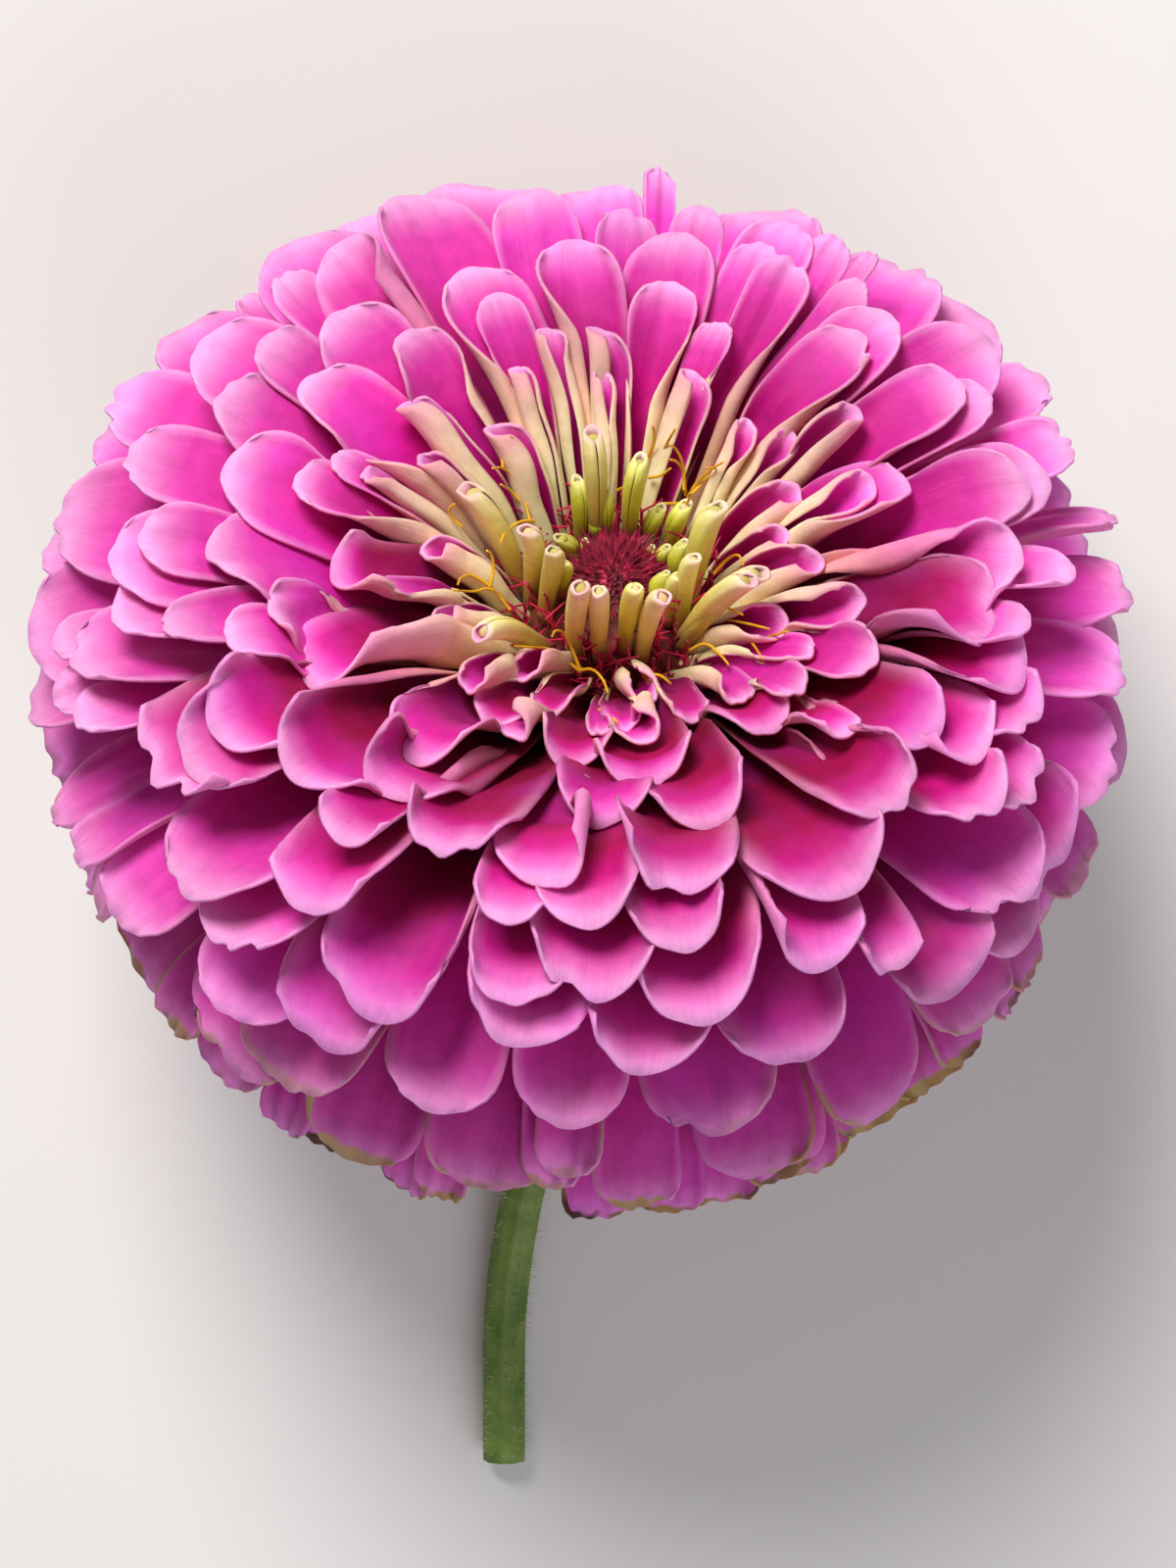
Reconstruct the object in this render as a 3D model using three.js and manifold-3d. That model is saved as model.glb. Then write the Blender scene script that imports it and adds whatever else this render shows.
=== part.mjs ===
// A double zinnia, picked with a short stem and laid down: the head leans on its lowest ray florets and
// the stem curves from under it to the surface. Millimetres, +Z up, the stem's cut end towards -Y.
//
// The head is worked out in its own frame: z runs along the flower's axis, the origin is the middle of
// the disc, and a place on it is a radius r, a height t along the axis and an azimuth. Every floret's
// place comes from one rule, the golden angle, and its small differences from a seeded draw.
import * as THREE from 'three';
import { mergeVertices } from 'three/addons/utils/BufferGeometryUtils.js';
import Module from 'manifold-3d';

const wasm = await Module();
wasm.setup();

const degrees = THREE.MathUtils.degToRad;
const mix = THREE.MathUtils.lerp;

// The pose of the head.
const AXIS_TILT = degrees(45); // the flower's axis above the surface
const DISC_HEIGHT = 57; // the disc's middle above the surface
const DISC_FORWARD = 31; // the disc's middle forward of the footprint's middle
const DISC_SIDE = 3.7; // and to its right
const GOLDEN_ANGLE = degrees(137.508);
const SEAT_GAP = 0.3; // between one piece and the next that carries it

// The dome that the ray florets' tips lie on: a quarter ellipse above its widest ring and one below.
const DOME_MIDDLE_R = 33;
const DOME_REACH = 22.5;
const DOME_MIDDLE_T = -13;
const DOME_RISE = 28;
const DOME_DROP = 39;
const DOME_FIRST = degrees(-12); // angle round the profile from straight up
const DOME_LAST = degrees(139);
const DOME_LEAN = 0.06; // how much longer the florets on the left are, and shorter on the right
const DOME_DIP = 3; // how deep the crown sinks round the eye
const DOME_SAG = 8; // and how much deeper on its upper side, where the florets aren't held up

// The receptacle, the hidden core that every ray floret grows from.
const CORE_TOP = -8.5;
const CORE_BOTTOM = -28.2;
const CORE_RADIUS = 10.6;

const ROOT_SUNK = 1.8; // how deep a floret's root sits in the core

const RAY_THICK = 0.62;
const INNER_RAYS = 28; // the narrow channelled florets round the eye
const YOUNG_FLORETS = 38; // the rolled ones, still shut
const DISC_RADIUS = 4.9;
const CHAFF_TIPS = 34;

// Under the head: the cup, its bracts in three rows from the lowest up, and the stem.
const CUP_TOP = CORE_BOTTOM - SEAT_GAP;
const CUP_BOTTOM = -40.5;
const BRACT_THICK = 0.8;
const BRACTS_IN_ROW = 8;
const BRACT_ROWS = [
  { root: [4.4, -38.8], tip: [9.4, -34.4], width: 5.6 },
  { root: [6.6, -36.8], tip: [11.4, -31.4], width: 7 },
  { root: [8.6, -34.4], tip: [12.4, -28.9], width: 8.4 },
];
const STEM_RADIUS = 2.4;
const STEM_SWELL = 0.7; // the stem is this much thicker just under the cup
const STEM_BEND_RADIUS = 84;
const STEM_LYING = 14; // the straight run along the surface
const STEM_DRIFT = 12; // to the left on its way to the cut end

const ROUND_SIDES = 16; // of every turned body of the head

// A repeatable draw from 0 to 1 for floret `index`; `kind` separates the draws of one floret.
function draw(index, kind) {
  const wave = Math.sin(index * 12.9898 + kind * 78.233 + 4.1) * 43758.5453;
  return wave - Math.floor(wave);
}
const vary = (index, kind) => 2 * draw(index, kind) - 1;

function smoothstep(from, to, x) {
  const k = Math.min(1, Math.max(0, (x - from) / (to - from)));
  return k * k * (3 - 2 * k);
}

const headUp = (p) => DISC_HEIGHT + p.z * Math.sin(AXIS_TILT) - p.y * Math.cos(AXIS_TILT);

// Moves a point of the head's frame along the world's own axes.
function shift(p, forward, up) {
  p.y += forward * Math.sin(AXIS_TILT) - up * Math.cos(AXIS_TILT);
  p.z += forward * Math.cos(AXIS_TILT) + up * Math.sin(AXIS_TILT);
  return p;
}

// A floret that reaches the surface bends there and lies along it. Returns true where it does.
function press(p, height) {
  const depth = height - headUp(p);
  if (depth <= 0) return false;
  shift(p, depth, depth);
  return true;
}

// --- one floret ---------------------------------------------------------------------------------

// The midrib is a quadratic curve in the (r, t) plane from root over knee to tip.
function midrib(floret, u) {
  const { root, knee, tip } = floret;
  const point = root.clone().multiplyScalar((1 - u) ** 2)
    .addScaledVector(knee, 2 * u * (1 - u)).addScaledVector(tip, u * u);
  const along = knee.clone().sub(root).multiplyScalar(1 - u)
    .addScaledVector(tip.clone().sub(knee), u).normalize();
  return { point, along };
}

// The outline of a ray: a narrow claw that widens to a broad, rounded end.
function halfWidth(floret, u) {
  const grown = mix(floret.claw, 1, smoothstep(0.1, 0.68, u));
  const end = Math.max(0, (u - 0.7) / 0.3);
  return 0.5 * floret.width * grown * Math.sqrt(1 - 0.84 * end * end);
}

// A place on the floret's middle surface, u from claw to tip and v from edge to edge, and its normal.
function onFloret(floret, u, v) {
  const { point, along } = midrib(floret, u);
  const half = halfWidth(floret, u);
  const turn = Math.max(0.02, mix(floret.cup, floret.tipCup, u));
  const across = half * Math.sin(turn * v) / turn;
  const lift = half * (1 - Math.cos(turn * v)) / turn;
  const roll = floret.roll * u;
  const side = across * Math.cos(roll) - lift * Math.sin(roll) + floret.sway * u * u;
  const up = across * Math.sin(roll) + lift * Math.cos(roll);
  const c = Math.cos(floret.azimuth);
  const s = Math.sin(floret.azimuth);
  const r = point.x - up * along.y;
  const t = point.y + up * along.x;
  const place = new THREE.Vector3(r * c - side * s, r * s + side * c, t);
  const nr = -along.y * Math.cos(roll);
  const normal = new THREE.Vector3(
    nr * c + Math.sin(roll) * s, nr * s - Math.sin(roll) * c, along.x * Math.cos(roll));
  return { place, normal };
}

// A closed thin blade through rows of points, split into triangles alike on both faces.
function bladeGeometry(rows, thick) {
  const places = [];
  const faces = [];
  const start = [];
  let count = 0;
  for (const row of rows) {
    start.push(count);
    count += row.length;
    for (const { place } of row) places.push(place);
  }
  const upper = [];
  const lower = [];
  rows.flat().forEach(({ place, normal }) => {
    upper.push(...place.clone().addScaledVector(normal, thick / 2).toArray());
    lower.push(...place.clone().addScaledVector(normal, -thick / 2).toArray());
  });
  const both = (a, b, c) => faces.push(a, c, b, count + a, count + b, count + c);
  rows.slice(1).forEach((row, k) => {
    let i = 0;
    let j = 0;
    const last = rows[k].length - 1;
    while (i < last || j < row.length - 1) {
      const a = start[k] + i;
      const b = start[k + 1] + j;
      const nextA = (i + 1) / last;
      const nextB = (j + 1) / (row.length - 1);
      if (i < last && (j === row.length - 1 || nextA <= nextB)) {
        both(a, a + 1, b);
        i += 1;
      } else {
        both(a, b + 1, b);
        j += 1;
      }
    }
  });
  const rim = [];
  for (let i = 0; i < rows[0].length; i++) rim.push(start[0] + i);
  for (let k = 1; k < rows.length; k++) rim.push(start[k] + rows[k].length - 1);
  for (let i = rows.at(-1).length - 2; i >= 0; i--) rim.push(start.at(-1) + i);
  for (let k = rows.length - 2; k > 0; k--) rim.push(start[k]);
  rim.forEach((a, k) => {
    const b = rim[(k + 1) % rim.length];
    faces.push(a, b, count + a, b, count + b, count + a);
  });
  return new THREE.BufferGeometry()
    .setAttribute('position', new THREE.Float32BufferAttribute([...upper, ...lower], 3))
    .setIndex(faces);
}

// --- solids -------------------------------------------------------------------------------------

function solidOf(geometry) {
  const bare = geometry.clone();
  bare.deleteAttribute('normal');
  bare.deleteAttribute('uv');
  const merged = mergeVertices(bare, 1e-4);
  return new wasm.Manifold(new wasm.Mesh({
    numProp: 3,
    vertProperties: new Float32Array(merged.attributes.position.array),
    triVerts: new Uint32Array(merged.index.array),
  }));
}

// Joins solids in pairs, then pairs of pairs, which keeps each join small.
function joined(solids) {
  let left = solids;
  while (left.length > 1) {
    const next = [];
    for (let i = 0; i < left.length; i += 2) {
      next.push(i + 1 < left.length ? left[i].add(left[i + 1]) : left[i]);
    }
    left = next;
  }
  return left[0];
}

// The largest body alone: hollows that the joining sealed are filled and loose scraps are dropped.
function largest(solid) {
  return solid.decompose().reduce((best, body) => (body.volume() > best.volume() ? body : best));
}

function geometryOf(solid) {
  const mesh = solid.getMesh();
  const places = new Float32Array(mesh.numVert * 3);
  for (let i = 0; i < mesh.numVert; i++) {
    places.set(mesh.vertProperties.subarray(i * mesh.numProp, i * mesh.numProp + 3), i * 3);
  }
  const geometry = new THREE.BufferGeometry()
    .setAttribute('position', new THREE.BufferAttribute(places, 3))
    .setIndex(new THREE.BufferAttribute(mesh.triVerts, 1));
  geometry.computeVertexNormals();
  return geometry;
}

// A body of revolution about the flower's axis; the profile runs from bottom to top as [r, t] pairs.
function turned(profile, sides) {
  return new THREE.LatheGeometry(profile.map(([r, t]) => new THREE.Vector2(r, t)), sides)
    .rotateX(Math.PI / 2);
}

// --- ray florets --------------------------------------------------------------------------------

function domePoint(angle) {
  const height = angle < Math.PI / 2 ? DOME_RISE : DOME_DROP;
  return new THREE.Vector2(
    DOME_MIDDLE_R + DOME_REACH * Math.sin(angle), DOME_MIDDLE_T + height * Math.cos(angle));
}

const sag = (azimuth) => DOME_SAG * (0.5 - 0.5 * Math.sin(azimuth)) ** 1.5;

// Florets follow one another out along the dome, each with the same share of its area.
function domeAngles() {
  const angles = [];
  for (let angle = DOME_FIRST; angle < DOME_LAST;) {
    angles.push(angle);
    const share = (angle - DOME_FIRST) / (DOME_LAST - DOME_FIRST);
    const area = mix(108, 170, smoothstep(0, 0.35, share));
    const height = angle < Math.PI / 2 ? DOME_RISE : DOME_DROP;
    const speed = Math.hypot(DOME_REACH * Math.cos(angle), height * Math.sin(angle));
    angle += area / (2 * Math.PI * domePoint(angle).x * speed);
  }
  return angles;
}

// The knee lies off the chord from root to tip, so the ray starts steeper than it ends.
function kneeOf(root, tip, bend, share) {
  const chord = tip.clone().sub(root);
  const angle = chord.angle() + bend;
  return root.clone().addScaledVector(
    new THREE.Vector2(Math.cos(angle), Math.sin(angle)), share * chord.length());
}

function innerRay(index) {
  const age = (index + 0.5) / INNER_RAYS;
  const root = new THREE.Vector2(CORE_RADIUS - ROOT_SUNK, mix(-10.6, -11.4, age));
  const tip = new THREE.Vector2(mix(20.5, 28, age), mix(6.5, 11.5, age));
  const azimuth = index * GOLDEN_ANGLE + 0.12 * vary(index, 3);
  tip.x += 1.2 * vary(index, 1);
  tip.y += 1.2 * vary(index, 2) - sag(azimuth);
  return {
    azimuth,
    root,
    tip,
    knee: kneeOf(root, tip, degrees(2), 0.5),
    width: mix(3.6, 7.6, age),
    claw: 0.5,
    cup: mix(1.2, 0.9, age),
    tipCup: mix(1.2, 0.6, age),
    roll: 0.3 * vary(index, 4),
    sway: 1.2 * vary(index, 5),
    stations: [0.6],
  };
}

function outerRay(index, angle, share) {
  const root = new THREE.Vector2(CORE_RADIUS - ROOT_SUNK, mix(-11.4, -26.6, share));
  const tip = domePoint(angle);
  const out = tip.clone().sub(new THREE.Vector2(CORE_RADIUS * 2, DOME_MIDDLE_T)).normalize();
  tip.addScaledVector(out, 1.5 * vary(index, 1));
  tip.addScaledVector(new THREE.Vector2(-out.y, out.x), 1.2 * vary(index, 2));
  const azimuth = (index + INNER_RAYS) * GOLDEN_ANGLE + 0.05 * vary(index, 3);
  if (angle < Math.PI / 2) {
    tip.y -= DOME_DIP * (1 - smoothstep(28, 44, tip.x));
    tip.y -= sag(azimuth) * (1 - smoothstep(34, 52, tip.x));
  }
  tip.x *= 1 - DOME_LEAN * Math.cos(azimuth);
  const bend = degrees(mix(11, 17, smoothstep(0, 0.4, share)) + 12 * smoothstep(0.5, 1, share));
  return {
    azimuth,
    root,
    tip,
    knee: kneeOf(root, tip, bend, mix(0.52, 0.7, smoothstep(0.3, 1, share))),
    width: mix(9.4, 15.2, smoothstep(0, 0.3, share)) * (1 + 0.1 * vary(index, 6)),
    claw: 0.2,
    cup: mix(0.8, 0.4, smoothstep(0, 0.5, share)),
    tipCup: mix(0.65, 0.2, smoothstep(0, 0.6, share)),
    roll: 0.2 * vary(index, 4),
    sway: 1.5 * vary(index, 5),
    stations: [0.48, 0.84],
  };
}

function raySolid(floret) {
  const row = (u, sides) => sides.map((v) => {
    const at = onFloret(floret, u, v);
    if (press(at.place, RAY_THICK / 2)) at.normal = shift(new THREE.Vector3(), 0, 1);
    return at;
  });
  const touches = headUp(onFloret(floret, 1, 0).place) < RAY_THICK / 2;
  const between = touches ? [0.5, 0.8, 0.9] : floret.stations;
  return solidOf(bladeGeometry([
    row(0, [-1, 1]),
    ...between.map((u) => row(u, [-1, 0, 1])),
    row(1, [-1, 1]),
  ], RAY_THICK));
}

function rayFlorets() {
  const core = solidOf(turned([
    [0, CORE_BOTTOM], [8.6, CORE_BOTTOM], [CORE_RADIUS, -24], [CORE_RADIUS, -12],
    [9.4, CORE_TOP], [0, CORE_TOP],
  ], ROUND_SIDES));
  const rays = [];
  for (let i = 0; i < INNER_RAYS; i++) rays.push(raySolid(innerRay(i)));
  const angles = domeAngles();
  angles.forEach((angle, i) => rays.push(raySolid(outerRay(i, angle, i / (angles.length - 1)))));
  return geometryOf(largest(joined([core, ...rays])));
}

// --- the eye: young florets and the disc --------------------------------------------------------

// A shut floret: a five-sided roll that widens a little to its hollow mouth.
function youngFloret(index) {
  const age = (index + 0.5) / YOUNG_FLORETS;
  const azimuth = index * GOLDEN_ANGLE;
  const rootR = mix(5.9, 8.9, Math.sqrt(age));
  const rootT = mix(-2.6, -6.6, Math.sqrt(age));
  const lean = degrees(mix(4, 12, age) + 13 * smoothstep(0.62, 1, age) + 2.5 * vary(index, 7));
  const long = mix(4, 11.5, Math.sqrt(age)) + 3 * smoothstep(0.6, 1, age) + 1.2 * vary(index, 8);
  const radius = mix(0.95, 1.35, age);
  return new THREE.LatheGeometry([
    new THREE.Vector2(0, -1), new THREE.Vector2(0.8 * radius, -1),
    new THREE.Vector2(radius, long), new THREE.Vector2(0, long - 1.2),
  ], 5).rotateX(Math.PI / 2).rotateY(lean).translate(rootR, 0, rootT).rotateZ(azimuth);
}

function youngFlorets() {
  const inner = DISC_RADIUS + SEAT_GAP;
  const bottom = CORE_TOP + SEAT_GAP;
  const ring = solidOf(turned([
    [inner, bottom], [9.2, bottom], [9.2, -6.4], [inner, -1.8], [inner, bottom],
  ], ROUND_SIDES));
  const florets = [];
  for (let i = 0; i < YOUNG_FLORETS; i++) florets.push(solidOf(youngFloret(i)));
  const bore = solidOf(turned([
    [0, bottom - 1], [inner, bottom - 1], [inner, 20], [0, 20],
  ], ROUND_SIDES));
  return geometryOf(largest(joined([ring, ...florets]).subtract(bore)));
}

// The disc: a low dome of chaff, its stiff fringed tips standing out all over it.
function discChaff() {
  const bottom = CORE_TOP + SEAT_GAP;
  const dome = solidOf(turned([
    [0, bottom], [DISC_RADIUS, bottom], [DISC_RADIUS, -2.4], [3.9, -1.2], [2.1, -0.4], [0, 0],
  ], ROUND_SIDES));
  const tips = [];
  for (let i = 0; i < CHAFF_TIPS; i++) {
    const r = 0.84 * DISC_RADIUS * Math.sqrt((i + 0.5) / CHAFF_TIPS);
    const t = -1.9 * (r / DISC_RADIUS) ** 2;
    tips.push(solidOf(new THREE.ConeGeometry(0.5, 2.1, 3)
      .rotateX(Math.PI / 2).rotateY(degrees(-20 + 30 * draw(i, 9)))
      .translate(r, 0, t + 0.5).rotateZ(i * GOLDEN_ANGLE)));
  }
  return geometryOf(largest(joined([dome, ...tips])));
}

// --- involucre and stem -------------------------------------------------------------------------

// A green bract hugs the cup and stands out a little at its end; each row sits between the one below.
function bractSolid(row, index) {
  const { root: [rootR, rootT], tip: [tipR, tipT], width } = BRACT_ROWS[row];
  const root = new THREE.Vector2(rootR, rootT);
  const tip = new THREE.Vector2(tipR, tipT);
  const bract = {
    azimuth: ((index + 0.5 * row) / BRACTS_IN_ROW) * 2 * Math.PI,
    root,
    tip,
    knee: kneeOf(root, tip, degrees(-14), 0.5),
    width,
    claw: 0.8,
    cup: 0.5,
    tipCup: 0.45,
    roll: 0,
    sway: 0,
  };
  const line = (u, sides) => sides.map((v) => onFloret(bract, u, v));
  return solidOf(bladeGeometry(
    [line(0, [-1, 1]), line(0.6, [-1, 0, 1]), line(1, [-1, 1])], BRACT_THICK));
}

function involucre() {
  const cup = solidOf(turned([
    [0, CUP_BOTTOM], [3.3, CUP_BOTTOM], [4.6, -39], [8.2, -35.4], [10.4, -31.4],
    [CORE_RADIUS, CUP_TOP], [0, CUP_TOP],
  ], ROUND_SIDES));
  const bracts = [];
  BRACT_ROWS.forEach((_, row) => {
    for (let i = 0; i < BRACTS_IN_ROW; i++) bracts.push(bractSolid(row, i));
  });
  return geometryOf(largest(joined([cup, ...bracts])));
}

// The stem's line: out of the cup along the flower's axis, round an even bend, then along the surface.
class StemLine extends THREE.Curve {
  constructor() {
    super();
    this.bend = STEM_BEND_RADIUS * AXIS_TILT;
    const dropped = STEM_BEND_RADIUS * (1 - Math.cos(AXIS_TILT));
    const top = CUP_BOTTOM - SEAT_GAP;
    this.startUp = headUp(new THREE.Vector3(0, 0, top));
    this.startForward = top * Math.cos(AXIS_TILT);
    this.straight = (this.startUp - STEM_RADIUS - dropped) / Math.sin(AXIS_TILT);
    this.total = this.straight + this.bend + STEM_LYING;
  }

  getPoint(k, point = new THREE.Vector3()) {
    const along = k * this.total;
    const first = Math.min(along, this.straight);
    const round = Math.min(Math.max(along - this.straight, 0), this.bend) / STEM_BEND_RADIUS;
    const last = Math.max(along - this.straight - this.bend, 0);
    const slope = AXIS_TILT - round;
    const back = first * Math.cos(AXIS_TILT)
      + STEM_BEND_RADIUS * (Math.sin(AXIS_TILT) - Math.sin(slope)) + last;
    const down = first * Math.sin(AXIS_TILT)
      + STEM_BEND_RADIUS * (Math.cos(slope) - Math.cos(AXIS_TILT));
    const side = -STEM_DRIFT * smoothstep(0, 0.85, k);
    return point.set(side, this.startForward - back, this.startUp - down);
  }
}

// The stem swells under the cup and is cut square at its end.
function stem() {
  const line = new StemLine();
  const rings = 18;
  const profile = [new THREE.Vector2(0, 0)];
  for (let k = 0; k <= rings; k++) {
    const share = k / rings;
    const swell = STEM_SWELL * (1 - smoothstep(0, 0.18, share));
    profile.push(new THREE.Vector2(STEM_RADIUS + swell, share));
  }
  profile.push(new THREE.Vector2(0, 1));
  const geometry = new THREE.LatheGeometry(profile, 10);
  const places = geometry.getAttribute('position');
  const right = new THREE.Vector3(1, 0, 0);
  for (let i = 0; i < places.count; i++) {
    const share = places.getY(i);
    const at = line.getPoint(share);
    const before = line.getPoint(Math.max(0, share - 0.005));
    const tangent = line.getPoint(Math.min(1, share + 0.005)).sub(before).normalize();
    const across = right.clone().addScaledVector(tangent, -right.dot(tangent)).normalize();
    const up = across.clone().cross(tangent);
    at.addScaledVector(across, places.getX(i)).addScaledVector(up, places.getZ(i));
    places.setXYZ(i, at.x, at.y, Math.max(at.z, 0));
  }
  return geometryOf(solidOf(geometry));
}

// --- the flower ---------------------------------------------------------------------------------

const finish = (color, roughness) => new THREE.MeshStandardMaterial({ color, roughness, metalness: 0 });

function piece(name, geometry, material) {
  const mesh = new THREE.Mesh(geometry, material);
  mesh.name = name;
  return mesh;
}

const head = new THREE.Group();
head.add(
  piece('ray_florets', rayFlorets(), finish('#d94fb0', 0.6)),
  piece('young_florets', youngFlorets(), finish('#c9c67c', 0.6)),
  piece('disc_chaff', discChaff(), finish('#8c1238', 0.7)),
  piece('involucre', involucre(), finish('#5d7a35', 0.65)),
);
head.position.set(DISC_SIDE, DISC_FORWARD, DISC_HEIGHT);
head.rotation.x = AXIS_TILT - Math.PI / 2;

const stemPiece = piece('stem', stem(), finish('#6f8a3f', 0.6));
stemPiece.position.set(DISC_SIDE, DISC_FORWARD, 0);

const zinnia = new THREE.Group();
zinnia.add(head, stemPiece);

export default zinnia;
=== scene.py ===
# %% [markdown]
# # A double zinnia, picked and laid down
#
# A zinnia head isn't one flower but a few hundred. The broad "petals" are ray florets, each a small
# flower of its own with a yellow style at its foot, and the crimson middle is the chaff between the
# disc florets. They all grow from one hidden core, the receptacle, and each new floret stands at the
# golden angle from the one before it. So the whole head can be made with one rule and one kind of
# blade, whose cup decides what it looks like: rolled shut it is a young tube in the eye, half open it
# is a narrow channel, and nearly flat it is a broad outer petal.

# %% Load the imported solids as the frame
import math
from types import SimpleNamespace

import bmesh
import bpy
import numpy as np
from mathutils import Matrix, Vector
from mathutils.bvhtree import BVHTree


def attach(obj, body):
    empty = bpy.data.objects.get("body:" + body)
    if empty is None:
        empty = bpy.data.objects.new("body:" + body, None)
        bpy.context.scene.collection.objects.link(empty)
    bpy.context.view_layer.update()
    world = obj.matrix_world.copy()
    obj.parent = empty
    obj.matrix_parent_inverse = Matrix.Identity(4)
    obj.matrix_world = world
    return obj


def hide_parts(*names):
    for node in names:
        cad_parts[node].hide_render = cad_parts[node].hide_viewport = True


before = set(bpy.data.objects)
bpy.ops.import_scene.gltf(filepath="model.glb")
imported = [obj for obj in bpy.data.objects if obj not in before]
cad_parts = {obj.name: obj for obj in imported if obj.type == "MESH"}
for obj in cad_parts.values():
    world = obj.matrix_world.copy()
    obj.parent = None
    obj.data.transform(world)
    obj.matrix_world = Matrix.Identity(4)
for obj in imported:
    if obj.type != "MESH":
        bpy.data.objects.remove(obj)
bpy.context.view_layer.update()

# %% [markdown]
# ## Where the head is
#
# The head is worked out in its own frame, in millimetres: z runs along the flower's axis, the origin is
# the middle of the disc, and the surface it lies on is far down that frame's +y side. The sizes are
# those of the solids, so each piece lands where its solid is.

# %% The head's frame and its driving sizes
MM = 0.001
AXIS_TILT = math.radians(45)
DISC_MIDDLE = Vector((3.7, 31, 57))
HEAD_TO_WORLD = (Matrix.Scale(MM, 4) @ Matrix.Translation(DISC_MIDDLE)
                 @ Matrix.Rotation(AXIS_TILT - math.pi / 2, 4, "X"))
GOLDEN_ANGLE = math.radians(137.508)

CORE_TOP = -8.5
CORE_BOTTOM = -28.2
CORE_RADIUS = 10.6
ROOT_SUNK = 1.8
CUP_TOP = CORE_BOTTOM - 0.3
CUP_BOTTOM = -40.5
DISC_RADIUS = 4.9
INNER_RAYS = 30

DOME_MIDDLE_R = 33
DOME_REACH = 23.5
DOME_MIDDLE_T = -13
DOME_RISE = 28
DOME_DROP = 39
DOME_DIP = 3
DOME_SAG = 8
DOME_FIRST = math.radians(-12)
DOME_LAST = math.radians(139)
DOME_LEAN = 0.06
DIP_RADII = (28, 44)  # the crown is DOME_DIP lower inside the first and not at all outside the second
SAG_RADII = (34, 52)  # the same for its sag
INNER_IN, INNER_DOWN = 0.55, 0.25  # how far the crown goes in and down for each degree inside the dome
FLORET_AREA = (80, 120)  # the dome's area for one floret, square mm, at its top and further down


def mix(a, b, k):
    return a + (b - a) * k


def smoothstep(start, end, x):
    k = min(1, max(0, (x - start) / (end - start)))
    return k * k * (3 - 2 * k)


def polar(r, azimuth, t):
    return Vector((r * math.cos(azimuth), r * math.sin(azimuth), t))


def stood(foot, direction):
    """The matrix that carries a shape made along z to a foot and a direction."""
    turn = Vector((0, 0, 1)).rotation_difference(direction)
    return Matrix.Translation(foot) @ turn.to_matrix().to_4x4()


def draw(index, kind):
    """A repeatable draw from 0 to 1 for floret `index`; `kind` keeps the draws of one floret apart."""
    wave = math.sin(index * 12.9898 + kind * 78.233 + 4.1) * 43758.5453
    return wave - math.floor(wave)


def vary(index, kind):
    return 2 * draw(index, kind) - 1


# %% [markdown]
# ## The blade of a floret
#
# A real floret starts as a narrow claw and widens to a rounded end with one to three shallow notches.
# Its midrib is a curve from root over knee to tip. Across, it is an arc, and the arc's half angle is
# what opens and closes it. The edge may flare out again, which gives the pale lip that catches the
# light, and the whole end may be bent back. Two long grooves beside the midrib are real folds.
#
# A grid is the plain start for such a blade, because its columns follow the veins and its rows follow
# the tip. Each point of the grid is then carried to its place by the formula below.

# %% The formula of a blade
CAP = 1.25  # length of the rounded end over half the blade's width
END_NARROWING = 0.56  # how much of the half width's square the very end loses
END_ROUNDING = 0.34  # how far the corners of the end lie behind its middle, over half the width
EDGE = 0.68  # share of the half width from which the edge flares and waves
NOTCHES = ((0, 0.2, 1), (0.6, 0.17, 0.7))  # each notch's shift from the first, its width and its depth

# Angles are in radians and lengths in millimetres. `cup` and `tip_cup` are the arc's half angle before
# and at the end, and `opens` is where along the blade it starts to change from one to the other.
FLAT_BLADE = dict(
    bend=0, share=0.5, claw=0.3, cup=0.5, tip_cup=0.3, opens=0.15, skew=0, roll=0, sway=0, reflex=0,
    flare=0, wave=0, waves=2, phase=0, ripple=0, groove=0.12, notch=0.06, notch_at=0.2, blunt=0, deep=0)


def blade(**facts):
    return SimpleNamespace(**{**FLAT_BLADE, **facts})


def knee_of(root, tip, bend, share):
    """The knee lies off the chord from root to tip, so that the blade starts steeper than it ends."""
    chord = tip - root
    angle = math.atan2(chord.y, chord.x) + bend
    return root + share * chord.length * Vector((math.cos(angle), math.sin(angle)))


def settle(floret):
    """Works out what the formula needs of a blade once: its knee, its length and its azimuth's cosine and
    sine.
    """
    floret.knee = knee_of(floret.root, floret.tip, floret.bend, floret.share)
    floret.length = (floret.knee - floret.root).length + (floret.tip - floret.knee).length
    floret.cos = math.cos(floret.azimuth)
    floret.sin = math.sin(floret.azimuth)
    return floret


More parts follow.
